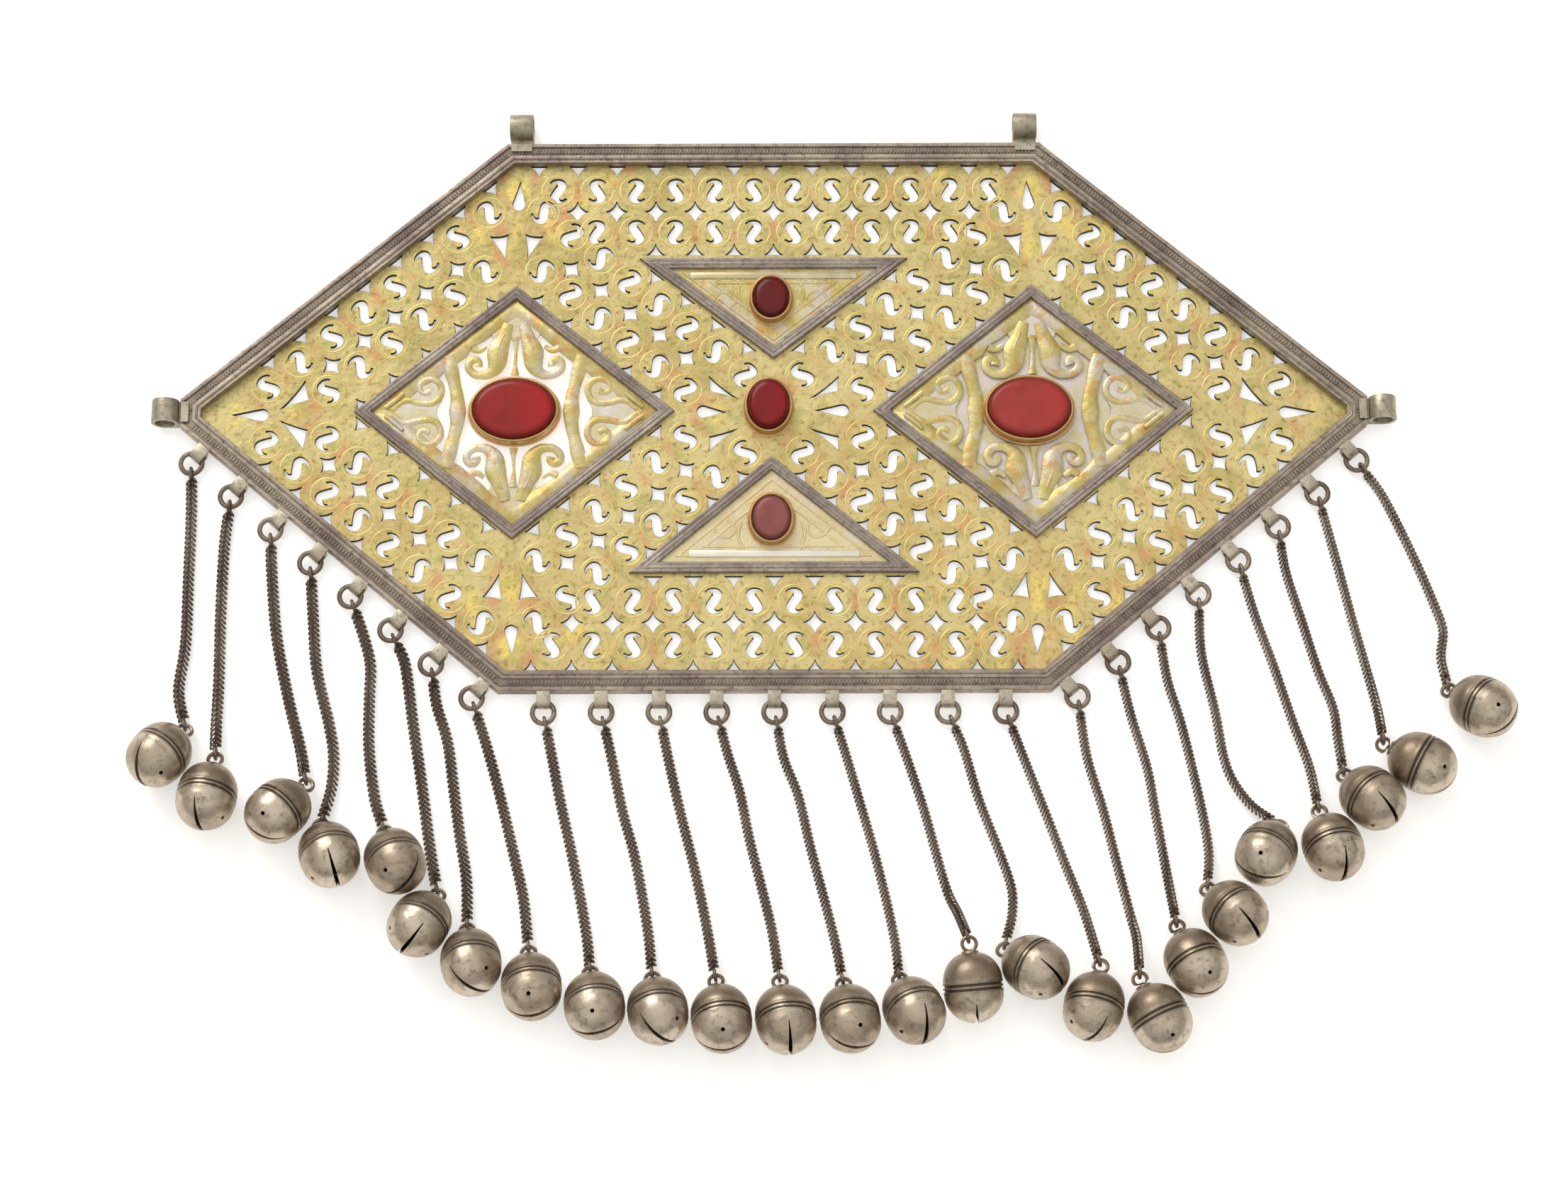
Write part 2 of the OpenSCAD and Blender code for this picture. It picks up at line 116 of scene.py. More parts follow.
# %% A finish is one material
class Finish:
    """A material with the calls that build its nodes."""

    def __init__(self, name, roughness, metallic):
        self.material = bpy.data.materials.new(name)
        self.material.use_nodes = True
        self.tree = self.material.node_tree
        self.shader = self.tree.nodes["Principled BSDF"]
        self.shader.inputs["Roughness"].default_value = roughness
        self.shader.inputs["Metallic"].default_value = metallic
        self.place = self.node("ShaderNodeTexCoord", {}, {}).outputs["Object"]

    def node(self, kind, settings, sockets):
        """Makes a node: its settings first, then the values or links of its sockets."""
        made = self.tree.nodes.new(kind)
        for name, value in settings.items():
            if name == "stops":
                self.set_stops(made.color_ramp, value)
            else:
                setattr(made, name, value)
        for name, value in sockets.items():
            self.feed(made.inputs[name], value)
        return made

    def set_stops(self, ramp, stops):
        """Gives a colour ramp its stops of place and colour."""
        while len(ramp.elements) < len(stops):
            ramp.elements.new(1)
        for element, (place, colour) in zip(ramp.elements, stops):
            element.position = place
            element.color = colour

    def feed(self, socket, value):
        """Links a number or an output to a socket, or sets a plain value on it."""
        if isinstance(value, Number):
            self.tree.links.new(value.socket, socket)
        elif isinstance(value, bpy.types.NodeSocket):
            self.tree.links.new(value, socket)
        else:
            socket.default_value = value

    def maths(self, operation, *values):
        """A Math node as a number."""
        node = self.node("ShaderNodeMath", {"operation": operation}, dict(enumerate(values)))
        return Number(self, node.outputs["Value"])

    def axes(self):
        """The three Object coordinates in millimetres, as numbers."""
        node = self.node("ShaderNodeSeparateXYZ", {}, {"Vector": self.place})
        return [Number(self, node.outputs[axis]) / MM for axis in "XYZ"]

    def cloud(self, size, detail=3.0, rough=0.55):
        """Noise with features of about this size in millimetres."""
        sockets = {
            "Vector": self.place,
            "Scale": 1 / (size * MM),
            "Detail": detail,
            "Roughness": rough,
        }
        return Number(self, self.node("ShaderNodeTexNoise", {}, sockets).outputs[0])

    def blend(self, share, first, second):
        """A Mix node for colours."""
        settings = {"data_type": "RGBA"}
        return self.node("ShaderNodeMix", settings, {0: share, 6: first, 7: second}).outputs[2]

    def patches(self, size, spread, first, second):
        """Two colours in soft patches of about this size; a small spread parts them sharply."""
        share = self.cloud(size).held(0.5 - spread, 0.5 + spread)
        return self.blend(share, first, second)

    def relief(self, height, depth):
        """Gives the surface small bumps of this depth in millimetres."""
        sockets = {"Height": height, "Distance": depth * MM, "Strength": 1.0}
        node = self.node("ShaderNodeBump", {}, sockets)
        self.feed(self.shader.inputs["Normal"], node.outputs["Normal"])

    def carries(self, name):
        """A number stored on the mesh's points."""
        node = self.node("ShaderNodeAttribute", {"attribute_name": name}, {})
        return Number(self, node.outputs["Fac"])

    def paint(self, colour):
        """Gives the shader its colour."""
        self.feed(self.shader.inputs["Base Color"], colour)


def tint(red, green, blue):
    """A colour of screen values from 0 to 255 as Blender's linear colour."""
    linear = [((value / 255 + 0.055) / 1.055) ** 2.4 for value in (red, green, blue)]
    return (*linear, 1)


print("middle grey as a linear value:", round(tint(128, 128, 128)[0], 3))


# %% [markdown]
# ## Light and floor
# The photo has a white ground and soft shadows that fall to the lower right, so a wide
# soft light stands behind and to the left. The ground is white even inside the holes, so
# the floor glows a little, like a light table. Polished bells mirror their surroundings:
# a sky that is bright overhead and darker at the horizon gives them their brown rims.

# %% Sky
world = bpy.data.worlds.new("studio")
world.use_nodes = True
sky = world.node_tree
direction = sky.nodes.new("ShaderNodeTexCoord")
height = sky.nodes.new("ShaderNodeSeparateXYZ")
shade = sky.nodes.new("ShaderNodeValToRGB")
shade.color_ramp.elements[0].position = 0.05
shade.color_ramp.elements[0].color = (0.16, 0.145, 0.13, 1)
shade.color_ramp.elements[1].position = 0.95
shade.color_ramp.elements[1].color = (1, 1, 1, 1)
sky.links.new(direction.outputs["Generated"], height.inputs[0])
sky.links.new(height.outputs["Z"], shade.inputs["Fac"])
sky.links.new(shade.outputs["Color"], sky.nodes["Background"].inputs["Color"])
sky.nodes["Background"].inputs["Strength"].default_value = 1.0
scene.world = world
print("sky nodes:", len(sky.nodes))

# %% Lamp
def add_lamp(name, place, width, depth, energy):
    """A soft rectangular light that faces the middle of the ornament."""
    data = bpy.data.lights.new(name, "AREA")
    data.shape = "RECTANGLE"
    data.size = width
    data.size_y = depth
    data.energy = energy
    lamp = bpy.data.objects.new(name, data)
    facing = Vector(place).to_track_quat("Z", "Y").to_matrix().to_4x4()
    lamp.matrix_world = Matrix.Translation(place) @ facing
    scene.collection.objects.link(lamp)


add_lamp("window", (-0.6, 1.05, 0.9), 0.9, 0.7, 10)

# %% Floor
paper = Finish("light_table", 0.8, 0.0)
paper.paint(tint(250, 250, 248))
paper.shader.inputs["Emission Color"].default_value = tint(255, 253, 250)
paper.shader.inputs["Emission Strength"].default_value = 0.4
bm = bmesh.new()
bmesh.ops.create_grid(bm, x_segments=1, y_segments=1, size=3)
floor_mesh = bpy.data.meshes.new("floor")
bm.to_mesh(floor_mesh)
bm.free()
floor_mesh.materials.append(paper.material)
floor = bpy.data.objects.new("floor", floor_mesh)
scene.collection.objects.link(floor)
scene.view_settings.view_transform = "Standard"
print("floor and lamp are in place")

# %% [markdown]
# ## Rows of discs
# The sheet is pierced with S-holes in straight rows, one in the middle of each disc. The
# four quarters are alike, so the rows are charted once for the upper left. The gilding
# needs them first, because it wears off where two discs meet.

# %% Chart of the rows
HALF_WIDTH = 133.8
HALF_HEIGHT = 63.2
SHOULDER = 59.5
SLANT = math.atan2(HALF_HEIGHT, HALF_WIDTH - SHOULDER)
PITCH = 8.75
ROWS = [
    ((-5.5 * PITCH, 52.6), (-0.5 * PITCH, 52.6), 6, 0, True),
    ((-4.5 * PITCH, 42.7), (-0.5 * PITCH, 42.7), 5, 0, True),
    ((-63.5, 47.5), (-111.3, 6.5), 8, SLANT, True),
    ((-64, 33.5), (-98, 5.5), 6, SLANT, True),
    ((-51.3, 47.5), (-6.3, 9), 8, -SLANT, False),
    ((-51.5, 33.5), (-19.5, 5.5), 6, -SLANT, False),
]
print("S-holes in a quarter:", sum(row[2] for row in ROWS))

# %% [markdown]
# ## Gilt and tarnished silver
# Fire gilding is uneven: olive where it is thin, warm where it is thick, brighter in
# patches on the discs, and orange where neighbouring discs meet and wear. Only the front
# is gilt, so the walls of the holes and the back stay dark silver. Height above the floor
# tells front from wall.

# %% Where the discs meet
ROW_EDGE = 4.6
ROW_HEART = 1.6


def between_discs(finish, across, up, start, end, count):
    """1 midway between two S-holes of a row, -1 on them and 0 away from the row."""
    run = Vector(end) - Vector(start)
    step = run.length / (count - 1)
    ahead = run.normalized()
    along = (across - start[0]) * ahead.x + (up - start[1]) * ahead.y
    aside = (up - start[1]) * ahead.x - (across - start[0]) * ahead.y
    wave = finish.maths("COSINE", along * (math.tau / step))
    return wave * -1 * abs(aside).held(ROW_EDGE, ROW_HEART)


# %% Gilt
SHEET_TOP = 1.2
EDGE_SOFT = 0.07
pale = tint(222, 204, 142)
gilt = Finish("fire_gilt", 0.36, 0.75)
across, up, height = gilt.axes()
broad = gilt.cloud(22).held(0.38, 0.62)
small = gilt.cloud(2.2).held(0.38, 0.62)
# Warm towards the bottom, a darker olive towards the top; the darkening at the top is painted
# shade.
colour = gilt.blend(up.held(-50, 60), tint(204, 168, 104), tint(170, 152, 86))
colour = gilt.blend(broad * 0.75, pale, colour)
colour = gilt.blend(small * 0.6, colour, pale)
in_quarter = (abs(across) * -1, abs(up))
waves = [between_discs(gilt, *in_quarter, *row[:3]) for row in ROWS]
meeting = waves[0]
discs = waves[0]
for wave in waves[1:]:
    meeting = gilt.maths("MAXIMUM", meeting, wave)
    discs = gilt.maths("MINIMUM", discs, wave)
worn = gilt.cloud(7).held(0.4, 0.62)
patchy = gilt.cloud(9).held(0.62, 0.42)
colour = gilt.blend(discs.held(-0.1, -0.9) * patchy * 0.85, colour, tint(246, 218, 122))
colour = gilt.blend(meeting.held(0.3, 1.0) * worn * 0.85, colour, tint(216, 156, 112))
# Painted shade: the gilt is darker towards the left and towards the top.
painted_shade_upper_left = across.held(40, -110) * 0.14 + up.held(-10, 60) * 0.08
colour = gilt.blend(painted_shade_upper_left, colour, tint(110, 94, 50))
greenish = gilt.cloud(3.4, 2).held(0.52, 0.64)
colour = gilt.blend(greenish * 0.5, colour, tint(172, 170, 98))
specks = gilt.cloud(1.3, 2).held(0.54, 0.68)
colour = gilt.blend(specks * 0.5, colour, tint(140, 108, 54))
wall = height.held(SHEET_TOP - 0.01, SHEET_TOP - EDGE_SOFT)
gilt.paint(gilt.blend(wall, colour, tint(40, 30, 18)))
gilt.feed(gilt.shader.inputs["Metallic"], 0.72 - wall * 0.6)
gilt.feed(gilt.shader.inputs["Roughness"], worn * 0.14 + wall * 0.3 + 0.34)
gilt.relief(gilt.cloud(1.4) + gilt.cloud(6) * 2, 0.12)
print("gilt nodes:", len(gilt.tree.nodes))

# %% Panel gilt
panel_gilt = Finish("panel_gilt", 0.42, 0.65)
colour = panel_gilt.patches(4, 0.12, tint(212, 196, 136), tint(190, 172, 100))
silvery = panel_gilt.cloud(7, 2).held(0.48, 0.62)
colour = panel_gilt.blend(silvery * 0.7, colour, tint(208, 198, 188))
rusty = panel_gilt.cloud(3, 2).held(0.54, 0.66)
colour = panel_gilt.blend(rusty * 0.7, colour, tint(204, 156, 92))
across, up, height = panel_gilt.axes()
in_lower_triangle = up.held(-10, -15) * abs(across).held(33, 29)
colour = panel_gilt.blend(in_lower_triangle * 0.5, colour, tint(236, 220, 184))
panel_gilt.paint(panel_gilt.blend(height.held(1.3, 0.9) * 0.6, colour, tint(150, 126, 78)))
panel_gilt.relief(panel_gilt.cloud(1.3), 0.14)
print("panel gilt nodes:", len(panel_gilt.tree.nodes))

# %% Silvers
def tarnished(name, light, middle, dark, roughness, grain):
    """Old silver in soft patches with dark specks, as a finish and its colour."""
    finish = Finish(name, roughness, 0.8)
    broad = finish.cloud(11).held(0.36, 0.64)
    colour = finish.blend(broad, middle, light)
    fine = finish.cloud(grain, 4, 0.65).held(0.5, 0.72)
    colour = finish.blend(fine * 0.7, colour, dark)
    finish.feed(finish.shader.inputs["Roughness"], broad * -0.08 + (roughness + 0.06))
    finish.relief(finish.cloud(grain), 0.07)
    return finish, colour


border_silver, colour = tarnished(
    "border_silver", tint(182, 168, 148), tint(148, 132, 122), tint(88, 74, 68), 0.46, 1.2
)
across, up, height = border_silver.axes()
SIDE_LOOP_X = 129.2
# Darker beside each side loop, a painted shadow of the loop over its solder, and darker on the
# channel's floor between the ticks.
beside_loop = abs(abs(across) - SIDE_LOOP_X).held(1.3, 0.8) * abs(up).held(3, 2.3)
between_ticks = height.held(3.1, 3.0) * height.held(2.6, 2.8)
shadow_solder_and_channel = border_silver.maths("MAXIMUM", beside_loop, between_ticks * 0.45)
border_silver.paint(border_silver.blend(shadow_solder_and_channel * 0.7, colour, tint(58, 44, 36)))
frame_silver, colour = tarnished(
    "frame_silver", tint(172, 160, 146), tint(142, 128, 120), tint(96, 82, 74), 0.5, 1.0
)
frame_silver.paint(colour)
chain_silver, colour = tarnished(
    "chain_silver", tint(176, 160, 140), tint(140, 122, 108), tint(70, 58, 48), 0.42, 0.9
)
beside = chain_silver.carries("beside")
# Darker along the middle line and at both outer edges: painted shade in the crevice and on the
# sides.
painted_shade_middle_edges = beside.held(0.42, 0.12) + beside.held(0.8, 1.15)
chain_silver.paint(chain_silver.blend(painted_shade_middle_edges * 0.75, colour, tint(52, 42, 34)))
loop_silver, colour = tarnished(
    "loop_silver", tint(186, 178, 156), tint(158, 148, 126), tint(100, 88, 72), 0.44, 1.4
)
loop_silver.paint(colour)
hanger_silver, colour = tarnished(
    "hanger_silver", tint(202, 192, 170), tint(178, 166, 144), tint(112, 96, 80), 0.46, 1.2
)
hanger_silver.paint(colour)
print("materials so far, with the part's own:", len(bpy.data.materials))

# %% [markdown]
# ## Keeping a piece
# Each piece is shaped in millimetres in a bmesh, where its numbers are easy to read.
# At the end the mesh is scaled to metres and rides on the part with its object at the
# origin, so that patterns which read Object coordinates sit still on it.

# %% Keep a piece
def keep_piece(name, bm, finish, nodes=(), crease=35):
    """Turns a bmesh in millimetres into a finished piece and hides the nodes it stands for."""
    bm.transform(Matrix.Scale(MM, 4))
    mesh = bpy.data.meshes.new(name)
    bm.to_mesh(mesh)
    bm.free()
    mesh.materials.append(finish.material)
    mesh.shade_smooth()
    mesh.set_sharp_from_angle(angle=math.radians(crease))
    piece = bpy.data.objects.new(name, mesh)
    scene.collection.objects.link(piece)
    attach(piece, "root")
    if nodes:
        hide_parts(*nodes)
    mesh.calc_loop_triangles()
    print(name, len(mesh.loop_triangles), "triangles")


def lay(bm, pattern, place):
    """Adds a copy of a pattern mesh to a bmesh, moved by a matrix."""
    first = len(bm.verts)
    bm.from_mesh(pattern)
    bm.verts.ensure_lookup_table()
    bmesh.ops.transform(bm, matrix=place, verts=bm.verts[first:])


def as_pattern(bm):
    """Keeps a bmesh as a mesh that is copied many times."""
    mesh = bpy.data.meshes.new("pattern")
    bm.to_mesh(mesh)
    bm.free()
    return mesh


# %% [markdown]
# ## The pierced sheet
# A goldsmith pierces a sheet by drilling and sawing. A flat curve does the same: its
# outer spline is the sheet and every spline inside it is a hole, and the curve's extrusion
# gives the thickness. A boolean for each of 370 holes would be slow and leave broken edges.

# %% Shapes of the holes
S_HALF = [
    (0, 0, 1.0),
    (-0.45, 0.7, 0.98),
    (-0.7, 1.3, 1.02),
    (-0.62, 1.85, 0.9),
    (-0.15, 2.3, 0.6),
    (0.6, 2.48, 0.36),
    (1.3, 2.3, 0.25),
    (1.8, 1.85, 0.18),
]
S_WIDTH = 2.15


def smooth_line(points, steps):
    """More points on a smooth curve through the given ones."""
    points = [Vector(p) for p in points]
    line = []
    for i in range(len(points) - 1):
        a = points[max(i - 1, 0)]
        b = points[i]
        c = points[i + 1]
        d = points[min(i + 2, len(points) - 1)]
        for k in range(steps):
            t = k / steps
            bend = 2 * a - 5 * b + 4 * c - d
            twist = 3 * b - a - 3 * c + d
            line.append(b + 0.5 * t * ((c - a) + t * (bend + t * twist)))
    return line + [points[-1]]


def stroke_outline(line, width):
    """The outline of a stroke whose third number is the share of its width."""
    left = []
    right = []
    for i, point in enumerate(line):
        ahead = (line[min(i + 1, len(line) - 1)] - line[max(i - 1, 0)]).to_2d().normalized()
        aside = Vector((-ahead.y, ahead.x)) * point[2] * width / 2
        left.append(point.to_2d() + aside)
        right.append(point.to_2d() - aside)
    return left + right[::-1]


other_half = [(-x, -y, share) for x, y, share in S_HALF[:0:-1]]
S_HOLE = stroke_outline(smooth_line(other_half + S_HALF, 2), S_WIDTH)


def hollow_side(start, end, sag, centre):
    """Points along a side that bends by sag towards the hole's centre, its end left out."""
    start = Vector(start)
    end = Vector(end)
    pull = (Vector(centre) - (start + end) / 2).normalized() * sag
    return [start.lerp(end, t) + pull * 4 * t * (1 - t) for t in (0, 0.25, 0.5, 0.75)]


def hollow_polygon(corners, sags):
    """A hole with straight or inward bent sides."""
    centre = sum((Vector(c) for c in corners), Vector((0, 0))) / len(corners)
    outline = []
    for i, corner in enumerate(corners):
        outline += hollow_side(corner, corners[(i + 1) % len(corners)], sags[i], centre)
    return outline


STAR_R = 2.5
STAR_HOLE = hollow_polygon([(STAR_R, 0), (0, STAR_R), (-STAR_R, 0), (0, -STAR_R)], [0.5] * 4)
EDGE_HOLE = hollow_polygon([(-2.1, 0), (2.1, 0), (0, -2.7)], [0, 0.35, 0.35])


def drop_outline(tip, round_end, radius):
    """A drop from its tip to its round end."""
    tip = Vector(tip)
    run = Vector(round_end) - tip
    ahead = run.normalized()
    aside = Vector((-ahead.y, ahead.x))
    middle = tip + ahead * (run.length - radius)
    angles = [math.radians(a) for a in range(-100, 101, 20)]
    return [tip] + [middle + radius * (math.cos(a) * ahead + math.sin(a) * aside) for a in angles]


print("points on an S-hole:", len(S_HOLE))

# %% [markdown]
# Like the rows, the other holes are charted once for the upper left quarter, and the
# whole quarter is mirrored. In a row the S-holes alternate with their mirror images.

# %% Chart of the holes
DROP_R = 1.4
STAR_ROW_Y = 47.6
EDGE_ROW_Y = 58.6
TRIANGLE_ROW_Y = 37.2
STRIP_GAP = 0.45
RHOMB_X = 57
RHOMB_Y = 0.5
RHOMB_LONG = 34
RHOMB_TALL = 28.3


def moved(outline, x, y, turn=0.0, flip=False):
    """An outline flipped, turned and moved to its place."""
    spin = Matrix.Rotation(turn, 2)
    side = -1 if flip else 1
    return [spin @ Vector((side * p.x, p.y)) + Vector((x, y)) for p in outline]


def row_places(start, end, count):
    """Evenly spaced places from start to end."""
    return [Vector(start).lerp(Vector(end), i / (count - 1)) for i in range(count)]


def mirrored(outline, across, over):
    """An outline mirrored in x, in y or in both."""
    return [Vector((-p.x if across else p.x, -p.y if over else p.y)) for p in outline]


quarter = []
disc_middles = []
for start, end, count, turn, first_flipped in ROWS:
    for i, place in enumerate(row_places(start, end, count)):
        flip = (i % 2 == 0) == first_flipped
        quarter.append(moved(S_HOLE, place.x, place.y, turn, flip))
        disc_middles.append(place)
for k in range(1, 6):
    quarter.append(moved(STAR_HOLE, -PITCH * k, STAR_ROW_Y))
outer_squares = [(-70.3, 34), (-77.2, 28.4), (-84, 22.7), (-90.5, 17.3), (-97.5, 11.5)]
inner_squares = [(-19.3, 13), (-25.3, 18.5), (-31.8, 23.5), (-38.3, 29), (-45, 34)]
for x, y in outer_squares:
    quarter.append(moved(STAR_HOLE, x, y, SLANT))
for x, y in inner_squares:
    quarter.append(moved(STAR_HOLE, x, y, -SLANT))


def side_holes(points, start, end, off):
    """Half stars with their base along a side, each beside one of the points."""
    outlines = []
    start = Vector(start)
    along = (Vector(end) - start).normalized()
    out = Vector((-along.y, along.x))
    if out.dot(Vector(points[0]) - start) < 0:
        out = -out
    for point in points:
        base = start + along * along.dot(Vector(point) - start) + out * off
        turn = math.atan2(out.y, out.x) + math.pi / 2
        outlines.append(moved(EDGE_HOLE, base.x, base.y, turn))
    return outlines


border_side = row_places((-63.3, 53.5), (-111, 11.8), 8)
outer_rhomb_side = row_places((-64, 27.5), (-91.8, 3.5), 5)
inner_rhomb_side = row_places((-25.3, 5), (-51.5, 27.3), 5)
triangle_side = row_places((-6.2, 14.8), (-33.5, 37), 5)
quarter += side_holes(border_side, (-57.8, 58.6), (-126.7, 0), 0)
rhomb_top = (-RHOMB_X, RHOMB_Y + RHOMB_TALL)
quarter += side_holes(outer_rhomb_side, rhomb_top, (-RHOMB_X - RHOMB_LONG, RHOMB_Y), STRIP_GAP)
quarter += side_holes(inner_rhomb_side, rhomb_top, (-RHOMB_X + RHOMB_LONG, RHOMB_Y), STRIP_GAP)
quarter.append(drop_outline((-56.6, 54.8), (-57, 48), DROP_R))
leaf_corners = [
    [(-55.3, 42.3), (-51.2, 41.8), (-54.7, 36.5)],
    [(-59.1, 42.3), (-63.2, 41.8), (-59.7, 36.5)],
    [(-108.5, 1.3), (-103.2, 8), (-102.3, 3.5)],
    [(-8, 3.5), (-14.3, 8.7), (-14.2, 5.3)],
]
for corners in leaf_corners:
    quarter.append(hollow_polygon(corners, [0.3, 0.2, 0.2]))

holes = []
for side in (-1, 1):
    upper = [(-side * p.x, p.y) for p in triangle_side[:4]]
    holes += side_holes(upper, (side * 29.3, 36), (0, 12), STRIP_GAP)
    lower = [(-side * p.x - 0.5, -p.y) for p in triangle_side[:4]]
    holes += side_holes(lower, (side * 30, -36), (-0.5, -10.8), STRIP_GAP)
for outline in quarter:
    for across in (False, True):
        for over in (False, True):
            holes.append(mirrored(outline, across, over))
for over in (False, True):
    holes.append(mirrored(moved(STAR_HOLE, 0, STAR_ROW_Y), False, over))
    for k in range(-6, 7):
        holes.append(mirrored(moved(EDGE_HOLE, PITCH * k, EDGE_ROW_Y), False, over))
    for k in range(-3, 4):
        holes.append(mirrored(moved(EDGE_HOLE, PITCH * k, TRIANGLE_ROW_Y, math.pi), False, over))
for tip, round_end in [
    ((-119.2, 0), (-111, 0)),
    ((119.2, 0), (111, 0)),
    ((-10.5, 0.3), (-17, 0.6)),
    ((9, 0.7), (16.5, 0.7)),
]:
    holes.append(drop_outline(tip, round_end, DROP_R))
print("holes:", len(holes))

# %% Outlines of the sheet and of the panels
BLUNT_X = 130.2
SHEET_IN = 2.9
OPENING_MORE = 0.15


def hexagon(inwards):
    """The ornament's outline with its blunt side corners, moved inwards on all sides."""
    corner = HALF_WIDTH - inwards / math.sin(SLANT)
    top = HALF_HEIGHT - inwards
    shoulder = corner - top / math.tan(SLANT)
    blunt = BLUNT_X - inwards
    half = (corner - blunt) * math.tan(SLANT)
    upper = [(blunt, half), (shoulder, top), (-shoulder, top), (-blunt, half)]
    return upper + [(x, -y) for x, y in upper[::-1]]


def rhomb(inwards):
    """A panel's rhomb about its own centre."""
    to_side = RHOMB_LONG * RHOMB_TALL / math.hypot(RHOMB_LONG, RHOMB_TALL)
    long = RHOMB_LONG * (1 - inwards / to_side)
    tall = RHOMB_TALL * (1 - inwards / to_side)
    return [(long, 0), (0, tall), (-long, 0), (0, -tall)]


def triangle(corners, inwards):
    """A triangle moved inwards, which shrinks it towards its incentre."""
    a, b, c = [Vector(p) for p in corners]
    sides = [(b - c).length, (c - a).length, (a - b).length]
    around = sum(sides)
    middle = (a * sides[0] + b * sides[1] + c * sides[2]) / around
    radius = abs((b - a).cross(c - a)) / around
    return [middle + (p - middle) * (1 - inwards / radius) for p in (a, b, c)]


UPPER_TRIANGLE = [(-29.3, 36), (29.3, 36), (0, 12.8)]
LOWER_TRIANGLE = [(30, -36), (-30, -36), (-0.5, -10.8)]
openings = [
    [(x - RHOMB_X, y + RHOMB_Y) for x, y in rhomb(-OPENING_MORE)],
    [(x + RHOMB_X, y + RHOMB_Y) for x, y in rhomb(-OPENING_MORE)],
    triangle(UPPER_TRIANGLE, -OPENING_MORE),
    triangle(LOWER_TRIANGLE, -OPENING_MORE),
]
print("corners of the sheet:", len(hexagon(SHEET_IN)))


# %% Cut a sheet
def mesh_of(curve):
    """The mesh that a curve draws."""
    passing = bpy.data.objects.new("passing", curve)
    scene.collection.objects.link(passing)
    graph = bpy.context.evaluated_depsgraph_get()
    mesh = bpy.data.meshes.new_from_object(passing.evaluated_get(graph))
    bpy.data.objects.remove(passing)
    return mesh


def cut_sheet(outlines, thickness, round_off):
    """A flat curve with holes, given thickness and softened edges, as a bmesh."""
    curve = bpy.data.curves.new("sheet", "CURVE")
    curve.dimensions = "2D"
    curve.fill_mode = "BOTH"
    curve.extrude = thickness / 2 - round_off
    curve.bevel_depth = round_off
    curve.bevel_resolution = 0
    curve.offset = -round_off
    for outline in outlines:
        spline = curve.splines.new("POLY")
        spline.points.add(len(outline) - 1)
        for point, place in zip(spline.points, outline):
            point.co = (place[0], place[1], 0, 1)
        spline.use_cyclic_u = True
    bm = bmesh.new()
    bm.from_mesh(mesh_of(curve))
    bmesh.ops.remove_doubles(bm, verts=bm.verts, dist=0.002)
    bmesh.ops.recalc_face_normals(bm, faces=bm.faces)
    return bm


sheet = cut_sheet([hexagon(SHEET_IN)] + openings + holes, SHEET_TOP, EDGE_SOFT)
bmesh.ops.translate(sheet, verts=sheet.verts, vec=(0, 0, SHEET_TOP / 2))
keep_piece("pierced_sheet", sheet, gilt, ["pierced_plate"], 30)

# %% [markdown]
# ## Chased rings
# Round each S-hole the maker chased a line that parts the sheet into discs, and its
# raised edge catches the light. Its gilt is painted lighter than the sheet's, a painted
# highlight. One small ring is spun from a triangle and copied.

# %% Chased rings
gilt_painted_highlight = Finish("gilt_painted_highlight", 0.4, 0.7)
# Lighter than the sheet's gilt: a painted highlight on the raised rings.
gilt_painted_highlight.paint(gilt_painted_highlight.patches(6, 0.14, tint(226, 210, 138), tint(204, 180, 96)))


def spun(profile, steps):
    """A closed ring: a closed profile of radius and height, spun round the Z axis."""
    bm = bmesh.new()
    points = [bm.verts.new((radius, 0, height)) for radius, height in profile]
    bmesh.ops.contextual_create(bm, geom=points)
    for face in bm.faces[:]:
        bmesh.ops.delete(bm, geom=[face], context="FACES_ONLY")
    edges = bm.verts[:] + bm.edges[:]
    bmesh.ops.spin(bm, geom=edges, axis=(0, 0, 1), angle=math.tau, steps=steps, use_merge=True)
    bmesh.ops.recalc_face_normals(bm, faces=bm.faces)
    return bm


ring_pattern = as_pattern(spun([(3.4, -0.05), (3.62, 0.12), (3.84, -0.05)], 20))
rings = bmesh.new()
for place in disc_middles:
    for across in (-1, 1):
        for over in (-1, 1):
            x = place.x * across
            y = place.y * over
            lay(rings, ring_pattern, Matrix.Translation((x, y, SHEET_TOP)))
keep_piece("chased_rings", rings, gilt_painted_highlight, (), 80)

# %% [markdown]
# ## The border
# The border is a strip of silver with a plain outer edge, a milled channel, a fine wire
# and a plain inner edge. Inset, repeated on one flat face with the ornament's outline,
# draws such a profile with true mitres: each step goes inwards and up or down.

# %% A mitred strip
def step_inwards(bm, face, steps):
    """Insets a face again and again; each step goes inwards and upwards."""
    for inwards, upwards in steps:
        bmesh.ops.inset_region(
            bm,
            faces=[face],
            thickness=inwards,
            depth=upwards,
            use_even_offset=True,
            use_boundary=True,
        )
        bm.normal_update()


